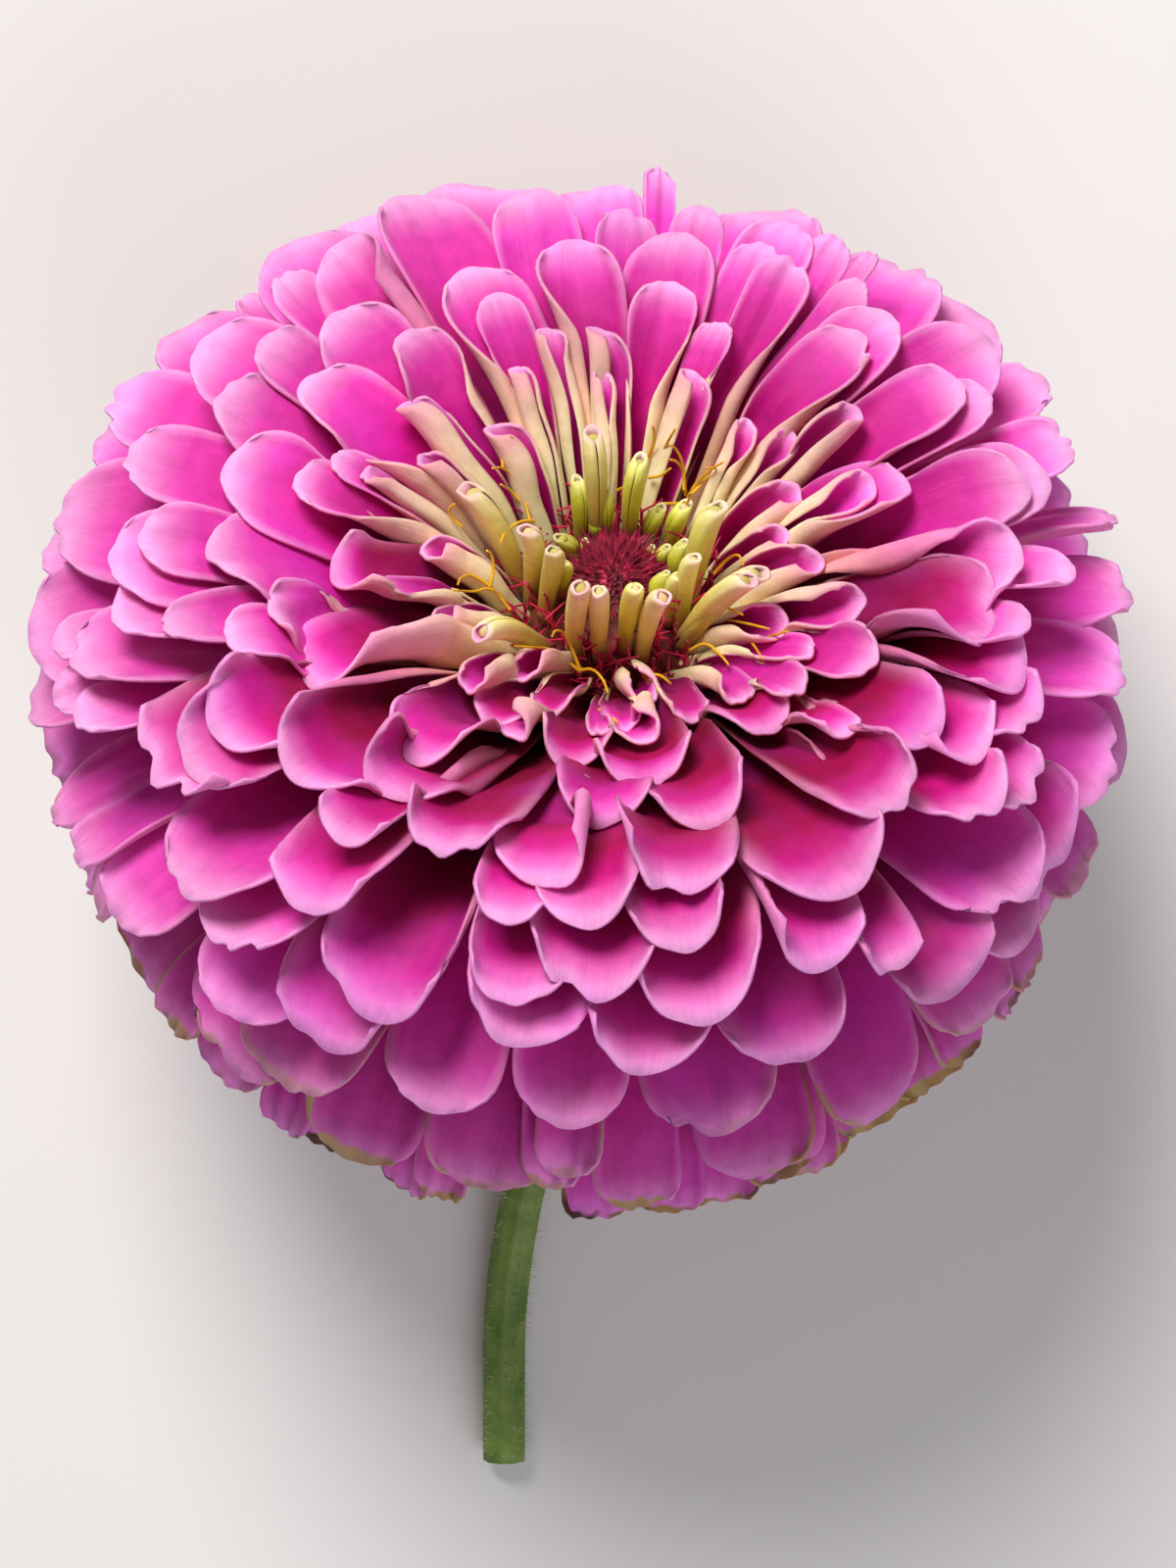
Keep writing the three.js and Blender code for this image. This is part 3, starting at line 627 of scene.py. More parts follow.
# %% A ray floret from its place and habit
def ray(index, azimuth, angle, width, habit):
    """A ray floret from its number, the azimuth and dome angle of its tip, its width and its habit.
    `share` grows with its age from 0 to 1 down the dome, and `youth` from 0 to 1 towards the eye."""
    share = max(0.0, (angle - DOME_FIRST) / (DOME_LAST - DOME_FIRST))
    youth = min(1.0, max(0.0, (DOME_FIRST - angle) / math.radians(24)))
    facts = dict(HABITS[habit])
    if habit == "flat":
        facts.update(cup=mix(2.5, 1.35, smoothstep(-0.1, 0.45, angle)), opens=mix(0.3, 0.15, share))
    facts["cup"] = min(3.05, facts["cup"] * (1 + 0.15 * vary(index, 14)))
    facts["tip_cup"] *= 1 + 0.2 * vary(index, 7)
    facts["reflex"] *= mix(0.6, 1.3, draw(index, 9)) * min(1, width / 9)
    facts["roll"] = facts.get("roll", 0.42 * vary(index, 4))
    # The width is measured across the arc, and a deep arc is wider than that when it is laid flat.
    width *= mix(1, 1.5, smoothstep(0.4, 1.45, facts["tip_cup"]))

    tip = crown_point(angle, azimuth)
    tip.x *= 1 - DOME_LEAN * math.cos(azimuth) * smoothstep(20, 45, tip.x)
    tip.x += facts.pop("reach", 0)
    tip.y -= 0.5 * sag(azimuth) * smoothstep(1.7, 2.4, angle)
    root = Vector((CORE_RADIUS - ROOT_SUNK, mix(-11.4, -26.6, share) + 1.2 * youth))
    bend = mix(11, 17, smoothstep(0, 0.4, share)) + 12 * smoothstep(0.5, 1, share) - 8 * youth
    return settle(blade(**{
        "azimuth": azimuth, "root": root, "tip": tip, "bend": math.radians(bend), "width": width,
        "share": mix(0.52, 0.7, smoothstep(0.3, 1, share)), "skew": 0.5 * vary(index, 8), "ripple": 0.3,
        "sway": 1.2 * vary(index, 5), "wave": mix(0.25, 0.55, share), "waves": 1.4 + draw(index, 16),
        "phase": 6.3 * draw(index, 10), "notch": 0.17 * draw(index, 11) ** 4 + 0.05 * draw(index, 11),
        "notch_at": 0.6 * vary(index, 12), "place": angle, "age": 0.2 - 0.18 * youth + 0.8 * share,
        "tint": draw(index, 13), "rest": 0.2 + 2.6 * (1 - share), **facts}))


print("a 12 mm petal of the widest ring is", round(ray(0, 0, math.pi / 2, 12, "flat").length, 1), "mm long")

# %% The measured florets, and the rest by the rule where there is room
FIRST_FOLLOWER = 158  # the number that the draws of the first floret by the rule start from
OLD_FROM = 1.7  # the dome angle from which florets are limp, radians
ROOM = 0.62  # how near a floret by the rule may stand to a measured one, over its own width


def end_of(floret):
    return on_blade(floret, 1, 0)


measured = [ray(i, math.radians(azimuth), math.radians(angle), width, habit)
            for i, (azimuth, angle, width, habit) in enumerate(MEASURED_RAYS)]
rule = [(index * GOLDEN_ANGLE, mix(math.radians(-34), DOME_FIRST, (index + 0.5) / INNER_RAYS), 5.5)
        for index in range(INNER_RAYS)]
rule += [((index + INNER_RAYS) * GOLDEN_ANGLE, angle, mix(10.5, 15.4, smoothstep(-0.2, 0.6, angle)))
         for index, angle in enumerate(dome_angles())]
followers = []
for index, (azimuth, angle, width) in enumerate(rule, FIRST_FOLLOWER):
    azimuth = (azimuth + 0.07 * vary(index, 3)) % (2 * math.pi)
    angle += 0.04 * vary(index, 2)
    width *= 1 + 0.12 * vary(index, 6)
    if angle > OLD_FROM:
        habit = "old"
    elif angle < DOME_FIRST:
        habit = "rolled"
    else:
        habit = "scoop" if math.sin(azimuth) < -0.3 else "flat"
    floret = ray(index, azimuth, angle, width, habit)
    apart = min((end_of(floret) - end_of(other)).length for other in measured)
    if apart > ROOM * width:
        followers.append(floret)
rays = sorted(measured + followers, key=lambda floret: floret.place)
print(len(measured), "measured petals and", len(followers), "by the rule")

# %% [markdown]
# ## Petals that make room for each other
#
# On the head each petal lies under the ones that opened after it, and bends where it meets them. The
# formula knows nothing of its neighbours, so the petals are now laid one by one from the eye outwards:
# where a point of a new petal would be above an earlier petal, it is moved down to just under it, and
# the move fades out over the blade, which leaves the soft dents of petals that have grown together.

# %% Lay each petal under the earlier ones
CLEARANCE = 0.55
REACH = 5.0  # how far a petal is bent at most, mm
NEIGHBOURS = 0.7  # petals whose azimuths are closer than this may meet, radians
STIFFNESS = 0.45  # how much of a point's move the rest of its row makes, which keeps a deep cup
FADE_STEPS = 7
SMOOTH_STEPS = 2


def tree_of(floret):
    wide = floret.across + 1
    faces = [(k, k + 1, k + 1 + wide, k + wide)
             for row in range(floret.along) for k in range(row * wide, row * wide + floret.across)]
    return BVHTree.FromPolygons(floret.points, faces)


def upper_side(floret, row):
    """The direction from the blade's underside to its upper side at a row of its points."""
    u = (row / floret.along) ** floret.crowd
    along = ((1 - u) * (floret.knee - floret.root) + u * (floret.tip - floret.knee)).normalized()
    return Vector((-along.y * floret.cos, -along.y * floret.sin, along.x))


def neighbour_sum(grid):
    """The sum of each value's four neighbours, with the edge's own values beyond the edge."""
    padded = np.pad(grid, 1, mode="edge")
    return padded[:-2, 1:-1] + padded[2:, 1:-1] + padded[1:-1, :-2] + padded[1:-1, 2:]


def spread(moves):
    """Fades the moves out over the blade without making any of them smaller, then smooths them."""
    faded = moves
    for _ in range(FADE_STEPS):
        faded = np.maximum(moves, 0.5 * faded + 0.125 * neighbour_sum(faded))
    for _ in range(SMOOTH_STEPS):
        faded = (2 * faded + neighbour_sum(faded)) / 6
    return faded


def make_room(florets):
    trees = []
    moved = 0
    for floret in florets:
        above = [tree for azimuth, tree in trees
                 if abs((floret.azimuth - azimuth + math.pi) % (2 * math.pi) - math.pi) < NEIGHBOURS]
        moves = np.zeros((floret.along + 1, floret.across + 1))
        ups = [upper_side(floret, row) for row in range(floret.along + 1)]
        for row, up in enumerate(ups):
            for column in range(floret.across + 1):
                start = floret.points[row * (floret.across + 1) + column] - REACH * up
                hits = (tree.ray_cast(start, up, REACH + CLEARANCE)[3] for tree in above)
                nearest = min((hit for hit in hits if hit is not None), default=REACH + CLEARANCE)
                moves[row, column] = REACH + CLEARANCE - nearest
        moved += np.count_nonzero(moves)
        moves = np.maximum(moves, STIFFNESS * floret.deep * moves.max(axis=1, keepdims=True))
        for (row, column), move in np.ndenumerate(spread(moves)):
            k = row * (floret.across + 1) + column
            floret.points[k] = press(floret.points[k] - float(move) * ups[row], floret.rest)
        trees.append((floret.azimuth, tree_of(floret)))
    return moved


for floret in rays:
    shape(floret, 18, 24)
print(make_room(rays), "points were moved to make room")

# %% Make the ray florets in four layers
for name, first, last in (("narrow_ray_florets", -40, -11), ("upper_ray_florets", -11, 35),
                          ("middle_ray_florets", 35, 82), ("lower_ray_florets", 82, 150)):
    group = [floret for floret in rays if first <= math.degrees(floret.place) < last]
    piece(name, blades_mesh(name, group), petal_finish, "ray_petal", "ray_florets")

# %% [markdown]
# ## The receptacle
#
# Every floret grows from one blunt cone, painted a dark crimson brown as the shade between the
# florets' feet. It hardly shows, but without it light would fall through the middle of the head. It is a
# profile spun round the flower's axis.

# %% A spun body of revolution, and the receptacle
def spun_mesh(name, profile, steps):
    """Spins a profile of (r, t) points round the flower's axis into a closed body."""
    bm = bmesh.new()
    verts = [bm.verts.new((r, 0, t)) for r, t in profile]
    edges = [bm.edges.new(pair) for pair in zip(verts, verts[1:])]
    bmesh.ops.spin(bm, geom=verts + edges, cent=(0, 0, 0), axis=(0, 0, 1), angle=2 * math.pi,
                   steps=steps, use_merge=True)
    bmesh.ops.remove_doubles(bm, verts=bm.verts[:], dist=1e-5)
    bmesh.ops.recalc_face_normals(bm, faces=bm.faces[:])
    return as_mesh(name, bm)


# Its dark crimson brown is painted shade, as deep as the gaps between the florets' feet.
core_finish = mottled("receptacle_tissue", 600, ((0.35, "#4a1016"), (0.65, "#84382a")), Roughness=0.7,
                      **FLESHY)
core_profile = [(0, CORE_BOTTOM), (8.6, CORE_BOTTOM), (CORE_RADIUS, -24), (CORE_RADIUS, -12),
                (9.4, CORE_TOP), (8.6, -6.8), (DISC_RADIUS, -2.4), (0, -2.0)]
piece("receptacle", spun_mesh("receptacle", core_profile, 48), core_finish, "young_petal", "young_florets")

# %% [markdown]
# ## The young florets
#
# Round the disc stand the youngest ray florets, still rolled into tubes with an open mouth: short and
# lime green inside, longer, cream and leaning out further from the middle, with a pink lip. A tube is
# the same blade with a cup of almost half a turn to each side, so its edges meet on the side of the
# eye. These too are measured one by one: azimuth, distance from the axis, lean outwards, length, drift
# to the side, radius, and how far the floret has ripened from lime to peach.

# %% The rolled young florets
TUBES = [
    (146, 5.1, 0, 3.6, 2, 0.78, 0), (146, 4.5, 2, 1.2, 1, 0.49, 0), (202, 5.5, 1, 4.8, 1, 0.58, 0),
    (206, 7.5, 0, 11.6, 2.5, 0.78, 0.5), (184, 8.3, 0, 13.2, 3, 0.78, 0.9),
    (119, 10.5, 28, 13.2, 2, 0.87, 0.8), (122, 11.4, 34, 3.6, -3, 0.87, 0.4),
    (119, 6.6, 6, 7.6, 0, 0.68, 0.1), (107, 5.7, 6, 12.8, 0, 0.87, 0.8), (98, 5.7, 5, 5.2, 0, 0.58, 0),
    (108, 5.7, 6, 2.4, 0, 0.58, 0), (75, 5.7, 2, 10.4, -1, 0.78, 0.3), (60, 6.6, 12, 4, -1, 0.68, 0.1),
    (46, 7.6, 13, 6, -1, 0.78, 0.2), (18, 5, 2, 2.4, -0.5, 0.58, 0), (357, 6, 6, 4.8, 0.5, 0.78, 0.1),
    (323, 7.9, 8, 12, -0.5, 0.68, 0.5), (319, 6.9, 9, 7.2, 0, 0.58, 0.5),
    (318, 5.4, 3, 3.6, 1, 0.68, 0), (288, 8.3, 18, 14.4, 0.5, 0.78, 0.9),
    (278, 7.6, 14, 12.4, 0.5, 0.78, 0.3), (260, 8.2, 13, 13.6, 0.5, 0.73, 0.6),
    (244, 8.7, 12, 15.5, 2.5, 0.83, 0.9), (348, 7.3, 10, 13.6, 0.5, 0.97, 0.5),
    (176, 8.6, 19, 15.5, 0, 0.97, 0.9), (317, 8.7, 27, 15.5, 3, 0.87, 0.8),
    (318, 8.4, 28, 15.5, 1, 0.78, 0.9), (224, 8.8, 40, 15.5, 2, 0.87, 1),
    (82, 8.4, 16, 0.8, 0, 0.34, 0), (36, 4.5, 0, 0.8, 0, 0.34, 0), (129, 4.5, 3, 0.8, 0, 0.29, 0),
]


TUBE_INSIDE = 0.92  # a tube's inner radius over the measured one


def tube(index, azimuth, root_r, lean, length, drift, radius, ripe):
    azimuth = math.radians(azimuth)
    lean = math.radians(lean)
    radius *= TUBE_INSIDE
    root = Vector((root_r + radius, -2.4 - 1.2 * max(0, root_r - 5.7) - 1))
    tip = root + (length + 1) * Vector((math.sin(lean), math.cos(lean)))
    return settle(blade(
        azimuth=azimuth, root=root, tip=tip, bend=math.radians(mix(1, 5, ripe)),
        width=2 * math.pi * radius * 1.12, claw=0.66, cup=3.1, tip_cup=mix(3.1, 2.8, ripe * draw(index, 24)),
        skew=0.02 * vary(index, 19), sway=drift, reflex=mix(-0.2, 0.5, ripe), flare=0.06 * ripe, groove=0.09,
        notch=0.1 * draw(index, 20), notch_at=0.5 * vary(index, 21), blunt=mix(-0.5, 0.1, ripe), age=ripe,
        tint=draw(index, 22), rest=0.2))


def infolds_mesh(name, tubes):
    """The lobes folded in just below each tube's mouth, one rounded bud in each."""
    bm = bmesh.new()
    for floret in tubes:
        back, front, left, right = (on_blade(floret, 0.93, v) for v in (0, 1, 0.5, -0.5))
        made = bmesh.ops.create_uvsphere(bm, u_segments=12, v_segments=8, radius=0.25 * (
            (back - front).length + (left - right).length))
        heading = (on_blade(floret, 0.98, 0) - on_blade(floret, 0.86, 0)).normalized()
        middle = (left + right + back + front) / 4
        bmesh.ops.transform(bm, matrix=stood(middle, heading) @ Matrix.Diagonal((1, 0.9, 0.7, 1)),
                            verts=made["verts"])
    return as_mesh(name, bm)


tubes = [shape(tube(i, *facts), 20, 14, crowd=0.9) for i, facts in enumerate(TUBES)]
piece("rolled_young_florets", blades_mesh("rolled_young_florets", tubes, thick=0.26),
      rolled_finish, "young_petal", "young_florets")
piece("infolded_lobes", infolds_mesh("infolded_lobes", tubes),
      mottled("lobe_tissue", 300, ((0.35, "#b9b23c"), (0.65, "#e3d09a")), Roughness=0.6, **FLESHY),
      "young_petal", "young_florets")

# %% [markdown]
# ## Disc chaff and the crimson fringe
#
# Each disc floret stands behind a stiff scale with a ragged crimson tip, and here the florets haven't
# opened, so the scales' tips are all that shows: a crimson pile that radiates from the middle. Each tip
# is a slim cone of four sides from `create_cone`, and a few hundred of them read as a pile. Between the
# feet of the young florets the same scales stand up as a ragged crimson fringe, which comes further on.

# %% Bristles: one slim cone each
CHAFF_SCALES = 560


def bristle(bm, foot, direction, length, radius, bow):
    """A four-sided tip at `foot`, pointing along `direction`, its end pushed aside by `bow`."""
    made = bmesh.ops.create_cone(bm, cap_ends=True, segments=4, radius1=radius, radius2=0.12 * radius,
                                 depth=length)
    verts = made["verts"]
    for vert in verts:
        if vert.co.z > 0:
            vert.co.x += bow
    bmesh.ops.translate(bm, verts=verts, vec=(0, 0, length / 2))
    bmesh.ops.transform(bm, matrix=stood(foot, direction), verts=verts)


def chaff_mesh(name):
    bm = bmesh.new()
    for index in range(CHAFF_SCALES):
        r = 0.92 * DISC_RADIUS * math.sqrt((index + 0.5) / CHAFF_SCALES)
        azimuth = index * GOLDEN_ANGLE
        out = math.radians(26 + 44 * r / DISC_RADIUS + 22 * vary(index, 30))
        side = azimuth + 0.8 * vary(index, 31)
        direction = Vector((math.sin(out) * math.cos(side), math.sin(out) * math.sin(side), math.cos(out)))
        foot = polar(r, azimuth, -1.6 * (r / DISC_RADIUS) ** 2 - 1.9)
        bristle(bm, foot, direction, 2.4 + 0.9 * vary(index, 32), 0.17, 0.35 * vary(index, 33))
    return as_mesh(name, bm, smooth=False)


chaff_finish = mottled("crimson_chaff", 900, ((0.3, "#6a0228"), (0.5, "#a00a40"), (0.68, "#d2285f")),
                       Roughness=0.5, Sheen_Weight=0.15)
piece("chaff_scales", chaff_mesh("chaff_scales"), chaff_finish, "chaff", "disc_chaff")
bed_profile = [(0, CORE_TOP), (DISC_RADIUS, CORE_TOP), (DISC_RADIUS, -3.4), (3.9, -2.6), (2.1, -1.9),
               (0, -1.6)]
piece("chaff_bed", spun_mesh("chaff_bed", bed_profile, 32), chaff_finish, "chaff", "disc_chaff")

# %% [markdown]
# ## Styles and fringe
#
# At the foot of each open ray floret stands a golden yellow style, a thread under half a millimetre
# thick that forks into two arms which curl back. Beside them stand crimson scales torn into finer and
# finer threads. Both are curves with a round bevel, the quickest way to an even thickness along a bend,
# and they are made meshes at the end. The styles are measured lines, in the head's frame.

# %% Threads from curves
STYLE_THICK = 0.36
STYLE_LINES = [
    ((-8.4, 5.6, -1), (-9.5, 8.5, 1), (-10.9, 8.9, 3), (-12.1, 7.2, 5)),
    ((-8.8, 7.3, -1), (-10.3, 7.8, 1), (-11.3, 6.9, 3)),
    ((-11.1, 9.1, 3), (-11.2, 10.3, 4), (-10.8, 11.1, 5), (-10.2, 10.6, 6)),
    ((-8, 2.9, 2), (-9.4, 2, 2.7), (-10.7, 0.1, 3.3), (-11.2, -1.9, 4)),
    ((-13.7, 9.4, 0), (-14, 9.3, 1.5), (-14.2, 8.7, 3)),
    ((-15.2, 2.1, 2), (-16.1, 2.5, 3), (-16.3, 2.6, 4), (-15.8, 2.3, 5)),
    ((-12.3, -5.1, 1), (-11.9, -3.9, 2.3), (-12.1, -3.3, 3.7), (-12.5, -4, 5)),
    ((-10.3, -5.4, -2), (-12, -4.4, -0.3), (-13.9, -6, 1.3), (-15.8, -7.4, 3)),
    ((-12.1, -3.3, -1), (-14, -3.4, 0.7), (-15, -5.1, 2.3), (-15.3, -7.5, 4)),
    ((-3.3, -10.9, -5), (-4.9, -9.2, -1.5), (-5.7, -10.2, 0.2), (-6.1, -12.5, 2)),
    ((-3.5, -10.8, -5), (-6, -10.4, -2.6), (-8.3, -12, -0.2), (-9.8, -12.9, 1)),
    ((-3.3, -11.6, -4), (-2.3, -12.4, -3), (-1.3, -14.4, -2), (-0.7, -17.1, -1)),
    ((-1.5, -18.5, -2), (-0.5, -20.1, -1), (0.2, -21.9, 0)),
    ((2.7, -12.2, -4), (3.4, -14.6, -2.5), (4.1, -17, -1)),
    ((3.1, -12.3, -4), (4.3, -13.6, -2.5), (5.4, -16, -1)),
    ((3.5, 12.6, 1), (4, 12.5, 3.5), (3.9, 12.1, 6)),
    ((4.4, 12.2, 0), (5.2, 12.3, 3), (6.1, 11.7, 6)),
    ((7.2, 9.2, -1), (7, 10.1, 1), (6.4, 9.8, 3), (5.6, 8.4, 5)),
    ((7, 9, 0), (6.9, 10.4, 2), (6.3, 10.5, 4), (5.6, 9.5, 6)),
    ((7.4, 8.9, -1), (8.3, 9.1, 1), (9.6, 8.9, 3), (10.8, 8, 5)),
    ((7.8, 8.5, 0), (9.3, 9.4, 1.3), (10.2, 9.2, 2.7), (9.2, 8.3, 4)),
    ((3.5, 10.7, 0), (4.7, 9.6, 1.5), (5.6, 9.1, 3)),
    ((5, 9, -2), (6.2, 7.4, -0.3), (7.3, 6.1, 1.3), (7.5, 5.7, 3)),
    ((0.3, 8.9, 0), (1.2, 8, 1.5), (2, 6.5, 3)),
    ((9.8, -2.4, 0), (11.1, -2.1, 1.7), (12, -3, 3.3), (12.5, -5.8, 5)),
    ((8.8, -8.2, -4), (9.1, -7.4, -1.7), (10.4, -7.8, 0.7), (12.4, -10.6, 3)),
    ((9.4, -4.9, -4), (11.6, -8.7, 0), (14.9, -13.4, 4)),
    ((7.3, -8.2, -5), (8.8, -8.8, -3.3), (10.3, -11.7, -1.7), (11, -14.4, 0)),
    ((11.7, -8.2, -4), (12.9, -10.3, -1), (14.3, -15.5, 2)),
    ((12.6, -9.1, -3), (14.8, -10.9, 0), (16.6, -12.8, 3)),
]
FRINGES = 230
FRINGE_THICK = 0.4
FRINGE_FLOOR = ((4.9, 8.6, 9.4, 10.6), (-2.4, -6.8, CORE_TOP, -11))  # radii, and the receptacle's heights


def thread(curve, points, radius, steps):
    """A smooth thread through the points, thinner at its end, in `steps` lengths from point to point."""
    spline = curve.splines.new("BEZIER")
    spline.bezier_points.add(len(points) - 1)
    for k, (spot, point) in enumerate(zip(spline.bezier_points, points)):
        spot.co = HEAD_TO_WORLD @ Vector(point)
        spot.handle_left_type = spot.handle_right_type = "AUTO"
        spot.radius = radius * MM * mix(1, 0.65, k / (len(points) - 1))
    spline.resolution_u = steps


def threads_mesh(name, lines, steps, rounding):
    """`lines` holds (points, radius) pairs; `rounding` adds sides to the four that a thread has."""
    curve = bpy.data.curves.new(name, "CURVE")
    curve.dimensions = "3D"
    curve.bevel_depth = 1.0
    curve.bevel_resolution = rounding
    curve.use_fill_caps = True
    for points, radius in lines:
        thread(curve, points, radius, steps)
    holder = new_object(name + "_line", curve)
    bpy.context.view_layer.update()
    mesh = bpy.data.meshes.new_from_object(holder)
    bpy.data.objects.remove(holder)
    mesh.name = name
    for face in mesh.polygons:
        face.use_smooth = True
    return mesh


def fringe_lines():
    """Each torn scale: a stem that leans with the tubes and two or three side threads near its end."""
    lines = []
    for index in range(FRINGES):
        azimuth = index * GOLDEN_ANGLE + 0.3 * vary(index, 41)
        r = mix(6.6, 11.0, math.sqrt(draw(index, 40)))
        foot = polar(r, azimuth, float(np.interp(r, *FRINGE_FLOOR)) - 0.3)
        lean = math.radians(8 + 22 * draw(index, 43))
        outward = polar(1, azimuth + 0.9 * vary(index, 44), 0)
        heading = math.sin(lean) * outward + math.cos(lean) * Vector((0, 0, 1))
        length = mix(2.8, 5.6, draw(index, 45))
        sideways = heading.cross(outward).normalized() if index % 2 else outward
        stem = [foot + k * length / 3 * heading + 0.35 * vary(index, 46 + k) * sideways for k in range(4)]
        lines.append((stem, FRINGE_THICK / 2))
        for k in range(3):
            start = stem[1 + k % 3]
            turn = heading + 1.5 * vary(index, 50 + k) * sideways + 0.8 * vary(index, 55 + k) * outward
            lines.append(([start, start + 0.7 * turn, start + 1.5 * turn], FRINGE_THICK / 3))
    return lines


piece("styles", threads_mesh("styles", [(points, STYLE_THICK / 2) for points in STYLE_LINES], 6, 1),
      mottled("golden_style", 500, ((0.35, "#d89806"), (0.6, "#f6c21e")), Roughness=0.45),
      "young_petal", "young_florets")
piece("crimson_fringe", threads_mesh("crimson_fringe", fringe_lines(), 3, 0),
      mottled("crimson_scale", 500, ((0.35, "#96083a"), (0.6, "#e0265c")), Roughness=0.45),
      "chaff", "disc_chaff")

# %% [markdown]
# ## The involucre
#
# Under the head the florets stand in a cup of green bracts, laid like roof tiles in rings, the widest at
# the top. Each is a broad, blunt blade with a thin dark edge. They are the same blade as the petals,
# thicker, stiffer and hugging a spun cup.

# %% Bracts and the cup they hug
BRACT_ROWS = 5
BRACTS_IN_ROW = 13


def bract(row, index):
    up = row / (BRACT_ROWS - 1)
    azimuth = 2 * math.pi * (index + 0.5 * (row % 2)) / BRACTS_IN_ROW + 0.05 * vary(index, 70 + row)
    root = Vector((mix(4.2, 9.0, up), mix(-39.4, -34.0, up)))
    tip = Vector((mix(7.4, 12.2, up ** 0.8), mix(-35.8, -28.8, up) + 0.5 * vary(index, 75 + row)))
    return settle(blade(
        azimuth=azimuth, root=root, tip=tip, bend=math.radians(-12), width=mix(4.4, 6.6, up), claw=0.7,
        cup=0.55, tip_cup=0.5, reflex=0.5 + 0.3 * vary(index, 80 + row), flare=0.05, wave=0.12, groove=0.05,
        notch=0.02, phase=6 * draw(index, 85 + row), age=up, tint=draw(index, 90 + row), rest=0.2))


def bract_tissue(name):
    """Firm green tissue with pale veins and the thin dark edge of a zinnia's bract."""
    material, tree, shader = finish(name, Roughness=0.55, Specular_IOR_Level=0.35)
    place, along, sideways = blade_places(tree)
    streaks = add(tree, "Mapping", {}, {"Vector": place, "Scale": (22, 1.6, 1)})
    vein = add(tree, "TexNoise", {}, {"Vector": streaks, "Scale": 1.0, "Detail": 2.0})
    skin = add(tree, "ValToRGB", {"stops": ((0.0, "#4c6a26"), (0.5, "#6f8f3a"), (1.0, "#7d9440"))},
               {"Fac": along})
    vein_share = add(tree, "MapRange", SMOOTH, {"Value": vein, "From Min": 0.4, "From Max": 0.65,
                                                "To Max": 0.3})
    side = add(tree, "MapRange", SMOOTH, {"Value": sideways, "From Min": 0.42, "From Max": 0.5})
    side = add(tree, "Math", TIMES, {0: side, 1: along})
    end = add(tree, "MapRange", SMOOTH, {"Value": along, "From Min": 0.88, "From Max": 0.97})
    dark = add(tree, "Math", {"operation": "MAXIMUM"}, {0: side, 1: end})
    for share, tone in ((vein_share, "#a5b45c"), (dark, "#3a2416")):
        skin = add(tree, "Mix", RGBA, {"Factor": share, 6: skin, 7: colour(tone)}, out=2)
    tree.links.new(skin, shader.inputs["Base Color"])
    bump = add(tree, "Bump", {}, {"Height": vein, "Strength": 0.3, "Distance": 0.0003})
    tree.links.new(bump, shader.inputs["Normal"])
    return material


cup_profile = [(0, CUP_BOTTOM), (3.3, CUP_BOTTOM), (4.6, -39), (8.2, -35.4), (10.4, -31.4),
               (CORE_RADIUS, CUP_TOP), (0, CUP_TOP)]
bracts = [shape(bract(row, index), 8, 8, crowd=1)
          for row in range(BRACT_ROWS) for index in range(BRACTS_IN_ROW)]
cup_finish = mottled("cup_tissue", 400, ((0.35, "#46602a"), (0.65, "#6d8a3a")), Roughness=0.6, **FLESHY)
piece("involucre_cup", spun_mesh("involucre_cup", cup_profile, 48), cup_finish, "bract", "involucre")
piece("involucre_bracts", blades_mesh("involucre_bracts", bracts, thick=0.4), bract_tissue("bract_tissue"),
      "bract", "involucre")

# %% [markdown]
# ## The stem
#
# The stem leaves the cup along the flower's axis, bends down and runs on along the surface to a square
# cut. A zinnia's stem is round with shallow ribs and stiff pale hairs. The rod is a grid rolled up round
# the stem's line; the hairs are the same slim cones as the chaff, set off it at random, drawn 0.1 mm
# thick where real ones are half that, so that they survive at this picture's size.

# %% The stem's line, rod and hairs
STEM_RADIUS = 2.4
STEM_SWELL = 0.7
STEM_BEND_RADIUS = 84
STEM_LYING = 14
STEM_DRIFT = 12
STEM_RIBS = 9
RIB_HEIGHT = 0.09
STEM_HAIRS = 1500

stem_top = CUP_BOTTOM - 0.3
stem_start_up = DISC_MIDDLE.z + stem_top * math.sin(AXIS_TILT)
stem_start_forward = stem_top * math.cos(AXIS_TILT)
stem_dropped = STEM_BEND_RADIUS * (1 - math.cos(AXIS_TILT))
stem_straight = (stem_start_up - STEM_RADIUS - stem_dropped) / math.sin(AXIS_TILT)
stem_total = stem_straight + STEM_BEND_RADIUS * AXIS_TILT + STEM_LYING


def stem_point(k):
    """The middle of the stem, in millimetres of the world, at a share k of its length."""
    along = k * stem_total
    first = min(along, stem_straight)
    turned = min(max(along - stem_straight, 0), STEM_BEND_RADIUS * AXIS_TILT) / STEM_BEND_RADIUS
    last = max(along - stem_straight - STEM_BEND_RADIUS * AXIS_TILT, 0)
    slope = AXIS_TILT - turned
    back = (first * math.cos(AXIS_TILT)
            + STEM_BEND_RADIUS * (math.sin(AXIS_TILT) - math.sin(slope)) + last)
    down = first * math.sin(AXIS_TILT) + STEM_BEND_RADIUS * (math.cos(slope) - math.cos(AXIS_TILT))
    side = -STEM_DRIFT * smoothstep(0, 0.85, k)
    return Vector((DISC_MIDDLE.x + side, DISC_MIDDLE.y + stem_start_forward - back, stem_start_up - down))


